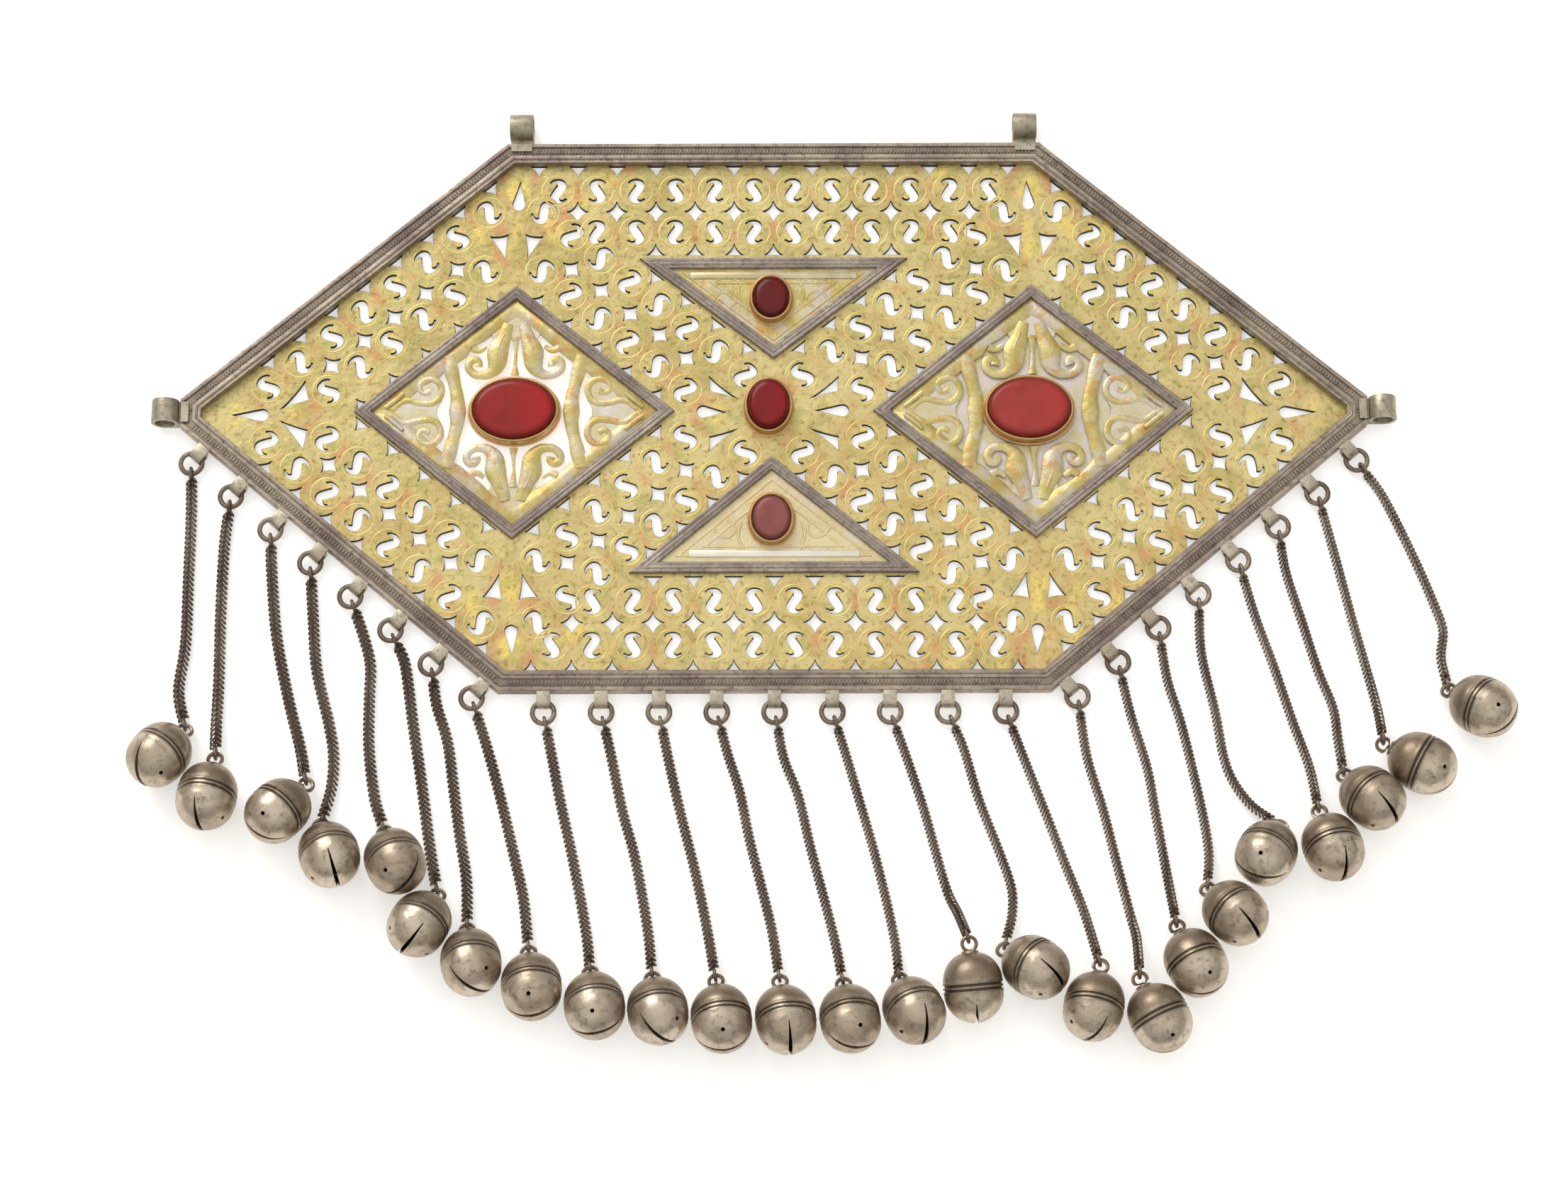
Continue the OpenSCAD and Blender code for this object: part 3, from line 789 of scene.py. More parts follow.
def mitred_strip(outline, steps):
    """A closed strip along an outline, whose profile is steps of inwards and upwards."""
    bm = bmesh.new()
    corners = [bm.verts.new((p[0], p[1], 0)) for p in outline]
    face = bm.faces.new(corners)
    bm.normal_update()
    if face.normal.z < 0:
        face.normal_flip()
    step_inwards(bm, face, steps)
    bmesh.ops.delete(bm, geom=[face], context="FACES_ONLY")
    bmesh.ops.bridge_loops(bm, edges=[edge for edge in bm.edges if edge.is_boundary])
    return bm


def steps_between(profile):
    """Turns places of distance and height into steps from each to the next."""
    return [(b[0] - a[0], b[1] - a[1]) for a, b in zip(profile, profile[1:])]


BORDER_PROFILE = [
    (0, 0),
    (0, 3.1),
    (0.1, 3.28),
    (0.3, 3.34),
    (0.8, 3.3),
    (0.92, 3.2),
    (1.0, 2.9),
    (1.15, 2.9),
    (1.2, 2.98),
    (2.5, 2.98),
    (2.55, 2.9),
    (2.7, 2.9),
    (2.76, 3.1),
    (3.4, 3.16),
    (3.5, 3.3),
    (3.65, 3.38),
    (3.8, 3.3),
    (3.9, 3.1),
    (4.5, 3.12),
    (4.6, 2.98),
    (4.6, 1.32),
    (2.8, 1.32),
    (2.8, 0),
]
WORN_ABOVE = 2


def hand_worn(bm, longer_than, cuts, depth, grain):
    """Divides a strip's long edges and lowers its top unevenly, as filing leaves it."""
    edges = [edge for edge in bm.edges if edge.calc_length() > longer_than]
    bmesh.ops.subdivide_edges(bm, edges=edges, cuts=cuts, use_grid_fill=True)
    for vert in bm.verts:
        if vert.co.z > WORN_ABOVE:
            vert.co.z -= depth * abs(noise.noise(vert.co * grain))
    bmesh.ops.recalc_face_normals(bm, faces=bm.faces)


border = mitred_strip(hexagon(0), steps_between(BORDER_PROFILE))
hand_worn(border, longer_than=60, cuts=30, depth=0.09, grain=0.35)
print("border faces:", len(border.faces))

# %% Milling
def add_block(bm, middle, size, place=Matrix.Identity(4)):
    """Adds a block with this middle and size to a bmesh, the whole moved by a matrix."""
    shape = Matrix.Translation(middle) @ Matrix.Diagonal((*size, 1))
    bmesh.ops.create_cube(bm, size=1, matrix=place @ shape)


def soften(bm, edges, offset, segments):
    """Breaks sharp edges with a small bevel."""
    bmesh.ops.bevel(
        bm, geom=edges, offset=offset, segments=segments, profile=0.5, affect="EDGES", material=-1
    )


TICK_PITCH = 0.75
TICK_SIZE = (0.4, 0.98, 0.3)
TICK_MIDDLE = 3.14
CHANNEL_MIDDLE = 1.9
CORNER_GAP = 1.2
TICK_WEAR = 0.135
WEAR_GRAIN = 0.05
tick = bmesh.new()
add_block(tick, (0, 0, 0), TICK_SIZE)
soften(tick, [e for e in tick.edges if all(v.co.z > 0 for v in e.verts)], 0.1, 1)
tick_pattern = as_pattern(tick)
middle_line = [Vector(p) for p in hexagon(CHANNEL_MIDDLE)]
ticks = 0
for i, start in enumerate(middle_line):
    run = middle_line[(i + 1) % len(middle_line)] - start
    count = int((run.length - 2 * CORNER_GAP) / TICK_PITCH)
    turn = Matrix.Rotation(math.atan2(run.y, run.x), 4, "Z")
    for k in range(count):
        at = start + run.normalized() * (CORNER_GAP + TICK_PITCH * (k + 0.5))
        spot = Vector((at.x * WEAR_GRAIN, at.y * WEAR_GRAIN, 7))
        wear = TICK_WEAR * max(0, noise.noise(spot))
        lay(border, tick_pattern, Matrix.Translation((at.x, at.y, TICK_MIDDLE - wear)) @ turn)
        ticks += 1
print("ticks:", ticks)

# %% [markdown]
# ## Hangers
# Each hanger is a short strip soldered to the border and rolled into an eye. The strip's
# end face is spun about the eye's centre, as pliers would roll it.

# %% Rolled strips
def drawn_out(bm, faces, way):
    """Extrudes faces and moves their new end by a vector; returns what has grown."""
    grown = bmesh.ops.extrude_face_region(bm, geom=faces)["geom"]
    new_points = [g for g in grown if isinstance(g, bmesh.types.BMVert)]
    bmesh.ops.translate(bm, verts=new_points, vec=way)
    return grown


def rolled_strip(width, thick, run, level, eye_middle, degrees, steps):
    """A strip that runs along +Y at its level, then rolls about eye_middle (y, z)."""
    bm = bmesh.new()
    upright = Matrix.Rotation(math.radians(90), 4, "X")
    size = Matrix.Diagonal((width, thick, 1, 1))
    place = Matrix.Translation((0, run[0], level)) @ upright @ size
    bmesh.ops.create_grid(bm, x_segments=1, y_segments=1, size=0.5, matrix=place)
    grown = drawn_out(bm, bm.faces[:], (0, run[1] - run[0], 0))
    centre = (0, eye_middle[0], eye_middle[1])
    angle = math.radians(degrees)
    bmesh.ops.spin(bm, geom=grown, cent=centre, axis=(1, 0, 0), angle=angle, steps=steps)
    bmesh.ops.remove_doubles(bm, verts=bm.verts, dist=0.001)
    bmesh.ops.recalc_face_normals(bm, faces=bm.faces)
    soften(bm, [e for e in bm.edges if e.is_manifold and e.calc_face_angle() > 1], 0.09, 2)
    return as_pattern(bm)


hanger_pattern = rolled_strip(
    width=2.9,
    thick=0.55,
    run=(-0.6, 2.15),
    level=2.85,
    eye_middle=(2.15, 1.6),
    degrees=-322,
    steps=14,
)
SIDE_HANGERS = 8
BOTTOM_HANGERS = 9
CHAINS = 2 * SIDE_HANGERS + BOTTOM_HANGERS
BOTTOM_PITCH = 12.4
SIDE_PITCH = 11.7
FIRST_FOOT = 12.2


def hanger_place(n):
    """Foot and outward direction of hanger n, from left to right."""
    if SIDE_HANGERS <= n < SIDE_HANGERS + BOTTOM_HANGERS:
        return Vector((BOTTOM_PITCH * (n - CHAINS // 2), -HALF_HEIGHT)), Vector((0, -1))
    side = -1 if n < SIDE_HANGERS else 1
    i = n if n < SIDE_HANGERS else CHAINS - 1 - n
    far = FIRST_FOOT + SIDE_PITCH * i
    foot = Vector((side * (HALF_WIDTH - far * math.cos(SLANT)), -far * math.sin(SLANT)))
    return foot, Vector((side * math.sin(SLANT), -math.cos(SLANT)))


hangers = bmesh.new()
for n in range(CHAINS):
    foot, outward = hanger_place(n)
    turn = Matrix.Rotation(math.atan2(outward.y, outward.x) - math.pi / 2, 4, "Z")
    lay(hangers, hanger_pattern, Matrix.Translation((foot.x, foot.y, 0)) @ turn)
keep_piece("milled_border", border, border_silver, ["border_frame"], 32)
keep_piece("rolled_hangers", hangers, hanger_silver, (), 32)

# %% Suspension loops
LOOP_HEIGHT = 3.05
loops = bmesh.new()
for x, y, degrees, out, foot_end in [
    (-56.3, HALF_HEIGHT, 0, 3.9, 1.6),
    (56.3, HALF_HEIGHT, 0, 3.9, 1.6),
    (BLUNT_X, 0, -90, 3.2, 0.9),
    (-BLUNT_X, 0, 90, 3.2, 0.9),
]:
    place = Matrix.Translation((x, y, 0)) @ Matrix.Rotation(math.radians(degrees), 4, "Z")
    strip = rolled_strip(
        width=5.2,
        thick=0.76,
        run=(0.1, out),
        level=0.45,
        eye_middle=(out, LOOP_HEIGHT),
        degrees=340,
        steps=24,
    )
    lay(loops, strip, place)
    add_block(loops, (0, foot_end / 2 - 0.1, 1.7), (5, foot_end + 0.2, 2.2), place)
    add_block(loops, (0, -1.1, 3.45), (4.6, 1.7, 0.3), place)
keep_piece("rolled_loops", loops, loop_silver, ["suspension_loops"], 32)

# %% [markdown]
# ## Panels
# Each panel is a strip frame of silver round a gilt ground. The rhomb panels hold
# scrollwork: paired volutes above, below and beside the stone, and two bowed bars.
# The left panel's ground is cut away between its scrolls, and the right one is backed.
# The rims sway by a vector of noise. Its seed is set, because it otherwise comes from the
# clock and the rims would differ a little from run to run.

# %% Panel frames
FRAME_PROFILE = [
    (0, 1.25),
    (0, 2.1),
    (0.1, 2.26),
    (0.35, 2.34),
    (0.65, 2.3),
    (0.75, 2.22),
    (0.85, 2.22),
    (0.95, 2.32),
    (1.25, 2.38),
    (1.55, 2.32),
    (1.65, 2.22),
    (1.75, 2.22),
    (1.85, 2.3),
    (2.2, 2.26),
    (2.35, 2.1),
    (2.35, 0.2),
    (0.9, 0.2),
    (0.9, 1.25),
]


def panel_frame(outline):
    """A strip frame along an outline, slightly uneven on top."""
    bm = mitred_strip(outline, steps_between(FRAME_PROFILE))
    bmesh.ops.translate(bm, verts=bm.verts, vec=(0, 0, FRAME_PROFILE[0][1]))
    hand_worn(bm, longer_than=15, cuts=16, depth=0.12, grain=0.4)
    return as_pattern(bm)


frames = bmesh.new()
rhomb_frame = panel_frame(rhomb(-0.75))
for side in (-1, 1):
    lay(frames, rhomb_frame, Matrix.Translation((side * RHOMB_X, RHOMB_Y, 0)))
for corners in (triangle(UPPER_TRIANGLE, -0.15), triangle(LOWER_TRIANGLE, -0.55)):
    lay(frames, panel_frame(corners), Matrix.Identity(4))
keep_piece("panel_frames", frames, frame_silver, (), 35)

# %% Grounds
RIM_IN = 4.6
RIM_SWAY = 0.9
RIM_SEED = 5
GROUND_IN = 1.4
noise.seed_set(RIM_SEED)


def rim_outline(inwards, sway):
    """A rhomb's outline whose sides sway a little, as a hand filed rim does."""
    corners = [Vector(p) for p in rhomb(inwards)]
    outline = []
    for i, corner in enumerate(corners):
        for k in range(12):
            place = corner.lerp(corners[(i + 1) % 4], k / 12)
            outline.append(place + sway * noise.noise_vector((place * 0.35).to_3d()).to_2d())
    return outline


rims = bmesh.new()
rim_mesh = as_pattern(cut_sheet([rhomb(GROUND_IN), rim_outline(RIM_IN, RIM_SWAY)], 0.9, 0.12))
for side in (-1, 1):
    lay(rims, rim_mesh, Matrix.Translation((side * RHOMB_X, RHOMB_Y, 1.1)))
pale_ground = Finish("pale_ground", 0.46, 0.5)
pale_ground.paint(pale_ground.patches(5, 0.12, tint(208, 196, 152), tint(218, 208, 200)))
pale_ground.relief(pale_ground.cloud(1.8), 0.14)
grounds = bmesh.new()
backing = as_pattern(cut_sheet([rhomb(GROUND_IN)], 0.5, 0.08))
lay(grounds, backing, Matrix.Translation((RHOMB_X, RHOMB_Y, 0.66)))
print("rim faces:", len(rims.faces), "backing faces:", len(grounds.faces))

# %% [markdown]
# ## Scrollwork
# The scrolls were cut and chased from strip. A curve with a round bevel, squashed flat,
# has the same soft section, and each point's radius lets a stroke swell and taper.

# %% Strokes
def strokes(lines, squash, level):
    """Smooth strokes (x, y, width) of round section, squashed in height to a low relief."""
    curve = bpy.data.curves.new("strokes", "CURVE")
    curve.dimensions = "3D"
    curve.bevel_depth = 0.5
    curve.bevel_resolution = 1
    curve.resolution_u = 4
    curve.use_fill_caps = True
    for line in lines:
        spline = curve.splines.new("BEZIER")
        spline.bezier_points.add(len(line) - 1)
        for point, (x, y, width) in zip(spline.bezier_points, line):
            point.co = (x, y, 0)
            point.radius = width
            point.handle_left_type = "AUTO"
            point.handle_right_type = "AUTO"
    mesh = mesh_of(curve)
    mesh.transform(Matrix.Translation((0, 0, level)) @ Matrix.Diagonal((1, 1, squash, 1)))
    return mesh


BAR_HALF = [(14.6, 13, 2.6), (14, 9.4, 3.3), (13.2, 6, 2.7), (12.6, 3, 3), (12.5, 0, 3.8)]
BAR = BAR_HALF + [(x, -y, width) for x, y, width in BAR_HALF[-2::-1]]
TALL_SCROLL = [
    (1.7, 20.5, 2.4),
    (2.7, 17, 3.4),
    (3.9, 13.8, 4.8),
    (4.1, 11, 4.1),
    (5.4, 9, 2.5),
    (7.4, 8.4, 1.9),
    (9.4, 9, 1.8),
    (10.3, 10.6, 1.8),
    (9.4, 12, 1.9),
    (8, 11.5, 1.5),
    (8.2, 10.5, 2),
]
SIDE_SCROLL = [
    (27, 0.5, 1.2),
    (24, 2.6, 1.4),
    (20.6, 2, 1.4),
    (17.6, 2.2, 1.4),
    (16.1, 4.4, 1.5),
    (16.9, 6.9, 1.5),
    (19.3, 7.5, 1.3),
    (21, 6, 1.2),
    (20, 4.3, 1.1),
    (18.6, 4.8, 1.4),
]
TIP_LINE = [(24.4, 4.2, 1), (26.2, 2.6, 1.1), (28.4, 0.9, 1)]
LEAF_LINE = [(2.5, 18, 0.6), (3.8, 14.6, 0.9), (4.2, 11.4, 0.6)]
STEM = [(0, 17.4, 1.8), (0.1, 13.6, 0.7), (0, 10.8, 0.9), (0, 8.4, 1.9)]
SPUR = [(6.4, 15.2, 1), (8, 14.2, 1.4), (9.6, 14.8, 1.8)]


def turned_over(line, across, over):
    """A stroke mirrored in x, in y or in both."""
    return [(x * across, y * over, width) for x, y, width in line]


def in_four(lines):
    """The strokes of one quarter, mirrored into all four."""
    corners = [(-1, -1), (-1, 1), (1, -1), (1, 1)]
    return [turned_over(line, across, over) for across, over in corners for line in lines]


middles = [BAR, turned_over(BAR, -1, 1), STEM, turned_over(STEM, 1, -1)]
scrolls = strokes(middles + in_four([TALL_SCROLL, SIDE_SCROLL, SPUR]), 0.28, 1.5)
scroll_lines = strokes(in_four([TIP_LINE, LEAF_LINE]), 0.5, 1.9)
SIDE_PLATE = [(17, 0.8), (16, 2.6), (15.8, 5), (17.4, 7.4), (20, 7.9), (23, 6.6), (30, 0)]
TOP_PLATE = [(0, 16.4), (1.2, 17), (2.4, 15.4), (4.6, 16.4), (5.6, 18.6), (3, 22), (0, 24.5)]
side_plate = SIDE_PLATE + [(x, -y) for x, y in SIDE_PLATE[-2::-1]]
top_plate = TOP_PLATE + [(-x, y) for x, y in TOP_PLATE[-2:0:-1]]
plates = bmesh.new()
for turned in (1, -1):
    for outline in (side_plate, top_plate):
        placed = [(x * turned, y * turned) for x, y in outline]
        lay(plates, as_pattern(cut_sheet([placed], 0.5, 0.1)), Matrix.Identity(4))
plate_mesh = as_pattern(plates)
for side in (-1, 1):
    middle = Vector((side * RHOMB_X, RHOMB_Y, 0))
    lay(rims, scrolls, Matrix.Translation(middle))
    lay(rims, scroll_lines, Matrix.Translation(middle))
    lay(grounds, plate_mesh, Matrix.Translation(middle + Vector((0, 0, 1.2))))
keep_piece("scrollwork", rims, panel_gilt, (), 50)
keep_piece("silvery_grounds", grounds, pale_ground, (), 30)

# %% [markdown]
# ## Triangle panels
# The triangles have a closed ground with two raised lines inside the frame, faint scrolls
# beside the stone and a burnished flat strip along the long side.

# %% Triangle grounds
triangles = bmesh.new()
LINE_PROFILE = [(0, 0), (0.1, 0.16), (0.3, 0.2), (0.5, 0.16), (0.6, 0)]
line_steps = steps_between(LINE_PROFILE)
for corners in (UPPER_TRIANGLE, LOWER_TRIANGLE):
    ground = cut_sheet([triangle(corners, GROUND_IN)], 0.95, 0.1)
    lay(triangles, as_pattern(ground), Matrix.Translation((0, 0, 0.92)))
    for inwards in (3.1, 5.2):
        line = mitred_strip(triangle(corners, inwards), line_steps)
        lay(triangles, as_pattern(line), Matrix.Translation((0, 0, 1.37)))
faint = [
    [(-13, 3.4, 0.6), (-11, 1.2, 0.7), (-8.6, 1.4, 0.7), (-8, 3.6, 0.6), (-9.6, 4.6, 0.6)],
    [(-12.5, -1.6, 0.5), (-9.5, -2.4, 0.6), (-6.8, -1.4, 0.6)],
    [(-6.6, 4.4, 0.6), (-7.2, 1.2, 0.7), (-5.9, -2.4, 0.6)],
]
low_scrolls = strokes(faint + [turned_over(line, -1, 1) for line in faint], 0.4, 1.4)
for y, turn in ((-29.4, 0), (29.4, math.pi)):
    place = Matrix.Translation((-0.6, y, 0)) @ Matrix.Rotation(turn, 4, "Z")
    lay(triangles, low_scrolls, place)
keep_piece("triangle_grounds", triangles, panel_gilt, (), 30)

# %% Burnished strips
burnished = Finish("burnished_strip", 0.3, 0.8)
colour = burnished.patches(5, 0.15, tint(214, 206, 172), tint(190, 176, 134))
up = burnished.axes()[1]
# The lower strip is painted lighter than the upper one, a painted sheen.
burnished.paint(burnished.blend(up.held(5, -5) * 0.7, colour, tint(246, 240, 228)))
STRIP_MIDDLE = 1.5
strips = bmesh.new()
for y in (-32.2, 32.2):
    add_block(strips, (0, y, STRIP_MIDDLE), (37, 1.5, 0.3))
soften(strips, [e for e in strips.edges if all(v.co.z > STRIP_MIDDLE for v in e.verts)], 0.12, 2)
keep_piece("burnished_strips", strips, burnished, (), 60)

# %% [markdown]
# ## Bezels and stones
# A bezel is a collar whose edge is rubbed over the stone. Both are ovals, and the same
# repeated inset that made the border keeps a bezel's wall even all the way round.

# %% Bezels
bezel_gold = Finish("bezel_gold", 0.36, 0.75)
bezel_gold.paint(bezel_gold.patches(3, 0.14, tint(210, 166, 118), tint(188, 154, 96)))
bezel_gold.relief(bezel_gold.cloud(1.3), 0.08)


def oval(width, depth, grow, count=64):
    """Points on an oval that has grown outwards on all sides."""
    angles = [math.tau * k / count for k in range(count)]
    return [
        ((width / 2 + grow) * math.cos(a), (depth / 2 + grow) * math.sin(a)) for a in angles
    ]


STONES = {
    "left": (-57, 0.5, 18, 13.6, 1.4, 4.6),
    "right": (56, 0.5, 18, 13.6, 1.4, 4.6),
    "upper": (-0.6, 26.5, 7.8, 9.3, 1.4, 4.4),
    "centre": (-1.2, 1.5, 9, 11.2, 1.2, 4.8),
    "lower": (-0.6, -24.5, 8.3, 10, 1.4, 4.4),
}
COLLAR_PROFILE = [
    (0, 0),
    (0.05, 0.25),
    (0.35, 0.3),
    (0.42, 0.75),
    (0.5, 1.9),
    (0.68, 2.18),
    (0.95, 2.22),
    (1.2, 2.05),
    (1.22, 0.2),
]
COLLAR_OUT = 1.32
COLLAR_SINK = 0.15
SEAT_OUT = 0.4
SEAT_SINK = 0.45
SEAT_THICK = 0.5
bezels = bmesh.new()
for x, y, width, depth, base, top in STONES.values():
    collar = mitred_strip(oval(width, depth, COLLAR_OUT), steps_between(COLLAR_PROFILE))
    lay(bezels, as_pattern(collar), Matrix.Translation((x, y, base - COLLAR_SINK)))
    seat = bmesh.new()
    corners = [seat.verts.new((*p, 0)) for p in oval(width, depth, SEAT_OUT)]
    drawn_out(seat, [seat.faces.new(corners)], (0, 0, SEAT_THICK))
    bmesh.ops.recalc_face_normals(seat, faces=seat.faces)
    lay(bezels, as_pattern(seat), Matrix.Translation((x, y, base - SEAT_SINK)))
bmesh.ops.recalc_face_normals(bezels, faces=bezels.faces)
covered = ["rhomb_panels", "triangle_panels"]
keep_piece("bezels", bezels, bezel_gold, covered, 40)

# %% Stones
STONE_LIFT = 0.05


def polished_stone(name, middle, rim, painted_highlight):
    """One stone: a flat table, a rounded shoulder, a painted highlight towards its right, and a
    colour that darkens at its rim, which is painted shade.
    """
    x, y, width, depth, base, top = STONES[name]
    finish = Finish(name + "_stone", 0.3, 0.0)
    finish.shader.inputs["Specular IOR Level"].default_value = 0.25
    finish.shader.inputs["Coat Weight"].default_value = 0.12
    finish.shader.inputs["Coat Roughness"].default_value = 0.12
    across, up = finish.axes()[:2]
    far_x = (across - x) / (width / 2)
    far_y = (up - y) / (depth / 2)
    far = far_x * far_x + far_y * far_y
    cloudy = finish.cloud(3.5).held(0.3, 0.7)
    colour = finish.blend(cloudy * 0.5, middle, rim)
    # A painted highlight towards the stone's right side.
    colour = finish.blend((far_x * 0.6 + cloudy * 0.5).held(0.3, 0.9) * 0.7, colour, painted_highlight)
    # Darker at the rim: painted shade of the rounded shoulder.
    finish.paint(finish.blend(far.held(0.62, 1.0) * 0.8, colour, rim))
    bm = bmesh.new()
    face = bm.faces.new([bm.verts.new((*p, 0)) for p in oval(width, depth, 0)])
    rise = top - base - STONE_LIFT
    profile = [(0, 0), (0, rise * 0.55), (0.12, rise * 0.72), (0.42, rise * 0.87)]
    profile += [(0.9, rise * 0.95), (1.6, rise * 0.99), (2.6, rise)]
    bmesh.ops.duplicate(bm, geom=[face])
    step_inwards(bm, face, steps_between(profile))
    bmesh.ops.remove_doubles(bm, verts=bm.verts, dist=0.0001)
    bmesh.ops.recalc_face_normals(bm, faces=bm.faces)
    bmesh.ops.translate(bm, verts=bm.verts, vec=(x, y, base + STONE_LIFT))
    keep_piece(name + "_cabochon", bm, finish, ["stone_" + name], 50)


polished_stone("left", tint(160, 36, 32), tint(112, 22, 18), tint(188, 22, 18))
polished_stone("right", tint(174, 58, 50), tint(124, 36, 30), tint(186, 50, 42))
polished_stone("upper", tint(104, 10, 8), tint(72, 6, 5), tint(120, 14, 10))
polished_stone("centre", tint(138, 12, 16), tint(88, 8, 12), tint(158, 16, 20))
polished_stone("lower", tint(150, 84, 80), tint(108, 58, 54), tint(164, 90, 90))

# %% [markdown]
# ## Woven chains
# A loop-in-loop chain shows two columns of slanting wires. Two rows of small rings,
# leaning outwards from the middle line, give that herringbone from above. One ring
# is spun once and copied along the chain's route.

# %% Wire rings
def wire_ring(radius, wire, around, across):
    """A closed ring of round wire about the Z axis."""
    bm = bmesh.new()
    upright = Matrix.Translation((radius, 0, 0)) @ Matrix.Rotation(math.radians(90), 4, "X")
    bmesh.ops.create_circle(bm, segments=across, radius=wire, matrix=upright)
    section = bm.verts[:] + bm.edges[:]
    bmesh.ops.spin(bm, geom=section, axis=(0, 0, 1), angle=math.tau, steps=around, use_merge=True)
    bmesh.ops.recalc_face_normals(bm, faces=bm.faces)
    return as_pattern(bm)


LINK_R = 1.25
RING_R = 2.35
RING_OUT = 4.5
jump_ring = wire_ring(RING_R, 0.56, 28, 8)
end_link = wire_ring(LINK_R, 0.38, 18, 6)
weave_ring = wire_ring(0.74, 0.24, 10, 4)
binding = wire_ring(0.72, 0.2, 12, 4)
print("faces in a ring of the weave:", len(weave_ring.polygons))


def axes_matrix(at, first, second):
    """A matrix that puts X along first and Y along second, at a place."""
    third = first.cross(second)
    turn = Matrix((first, second, third)).transposed().to_4x4()
    return Matrix.Translation(at) @ turn


# %% [markdown]
# Each bell lies where it fell, and its row says how: its middle in x and y, then in degrees
# the way its lower pole points, how far that pole is lifted and how far the slit is turned.

# %% Where the bells lie
BELLS = [
    (-130.6, -77.9, -125, 31, -30),
    (-120.2, -86.9, -97, 18, -12),
    (-105, -90.1, -130, 24, 85),
    (-93.8, -99.6, -70, 31, 5),
    (-79.9, -101.1, -68, 31, 60),
    (-74.5, -114.5, -115, 31, 18),
    (-63.5, -122.6, -80, 31, -45),
    (-50.8, -127.8, -83, 28, 85),
    (-37.6, -131.8, -81, 31, 85),
    (-24.4, -133, -80, 31, -38),
    (-11.2, -134.6, -82, 21, 90),
    (2.2, -134.8, -82, 21, 5),
    (15.6, -134.7, -81, 28, 110),
    (28.9, -133, -69, 31, 20),
    (41.3, -128.1, -85, -10, 0),
    (54.4, -124, -36, 31, 8),
    (66.3, -132.2, -102, 12, 30),
    (80, -134.6, -65, 5, 90),
    (87.9, -123.1, -67, 17, 100),
    (96.4, -112.7, -50, 31, 0),
    (103.5, -99.9, -120, 31, 75),
    (117.6, -98.6, -76, 21, 12),
    (126.4, -88.1, -50, 31, 0),
    (137.4, -80.5, -30, 12, 90),
    (151, -68.2, -36, 30, 90),
]
BELL_R = 6.3
BAND_HALF = 1.2
FLOOR_GAP = 0.05
LOOP_OUT = 9.1
LOOP_R = 1.5


def bell_axis(bell):
    """The direction from a bell's loop to its lower pole."""
    plan = math.radians(bell[2])
    lift = math.radians(bell[3])
    flat = math.cos(lift)
    return Vector((flat * math.cos(plan), flat * math.sin(plan), math.sin(lift)))


def bell_centre(bell):
    """A bell rests on the floor on one of its two half balls."""
    return Vector((bell[0], bell[1], BELL_R + FLOOR_GAP + BAND_HALF * abs(bell_axis(bell).z)))


print("bells:", len(BELLS))


# %% Routes of the chains
ROUTES = [
    [(-127, -24), (-127, -38), (-127, -52), (-128, -62.5)],
    [(-119.5, -30), (-119.7, -45), (-119.5, -60), (-119.5, -70)],
    [(-109, -36), (-107.5, -50), (-104.5, -64), (-101.5, -75)],
    [(-99.7, -46), (-98.5, -58), (-95.5, -70), (-94.3, -77), (-94.5, -84)],
    [(-88.5, -51), (-87, -57), (-87, -64), (-86.8, -75), (-85.3, -86)],
    [(-79.5, -57), (-77.5, -70), (-75.5, -82), (-73.7, -94), (-72.5, -101)],
    [(-72.5, -66), (-70, -74), (-68.5, -84), (-67, -94), (-65.3, -104)],
    [(-61, -77), (-58, -88), (-55.3, -99), (-53.2, -108)],
    [(-47.3, -79), (-45.5, -88), (-43, -99), (-40.8, -110), (-39.6, -117)],
    [(-35, -77), (-32.5, -89), (-30, -98), (-28.2, -107), (-26.7, -116)],
    [(-22.5, -79), (-20, -90), (-17, -102), (-14.5, -114)],
    [(-10, -77), (-7.5, -85), (-5.5, -95), (-2.8, -106), (-0.7, -115)],
    [(2, -78), (5, -86), (7.5, -97), (10.3, -108), (12.5, -117)],
    [(15.5, -78), (18, -87), (21, -98), (23.8, -110), (25.3, -118)],
    [(28.3, -78), (31.7, -89), (34.3, -99), (36.5, -107), (38.5, -112)],
    [(40.5, -76), (43.5, -87), (47.5, -98), (50, -106), (50, -112)],
    [(54, -80), (58, -91), (61.5, -101), (65, -111)],
    [(66.8, -78), (69.8, -89), (72.5, -101), (75, -112), (76, -117)],
    [(76.5, -69), (79.5, -80), (81, -90), (82.5, -100), (83.3, -106)],
    [(84.5, -61), (87, -70), (89.5, -82), (91.3, -92), (92, -99)],
    [(92, -55), (94.5, -68), (96, -78), (98, -83.5), (101.5, -88.5)],
    [(104, -47), (107.5, -58), (111, -70), (114, -80)],
    [(111, -37), (114, -48), (117, -59), (119.8, -67), (120.5, -74)],
    [(121.5, -32), (124.5, -46), (127, -57), (129, -67)],
    [(133, -20), (139, -34), (143, -45), (144.3, -50), (143.5, -56)],
]
CHAIN_Z = 1.2
LINK_Z = 1.7
RING_Z = 1.55
LINK_REACH = 1.0
END_RISE = 0.35


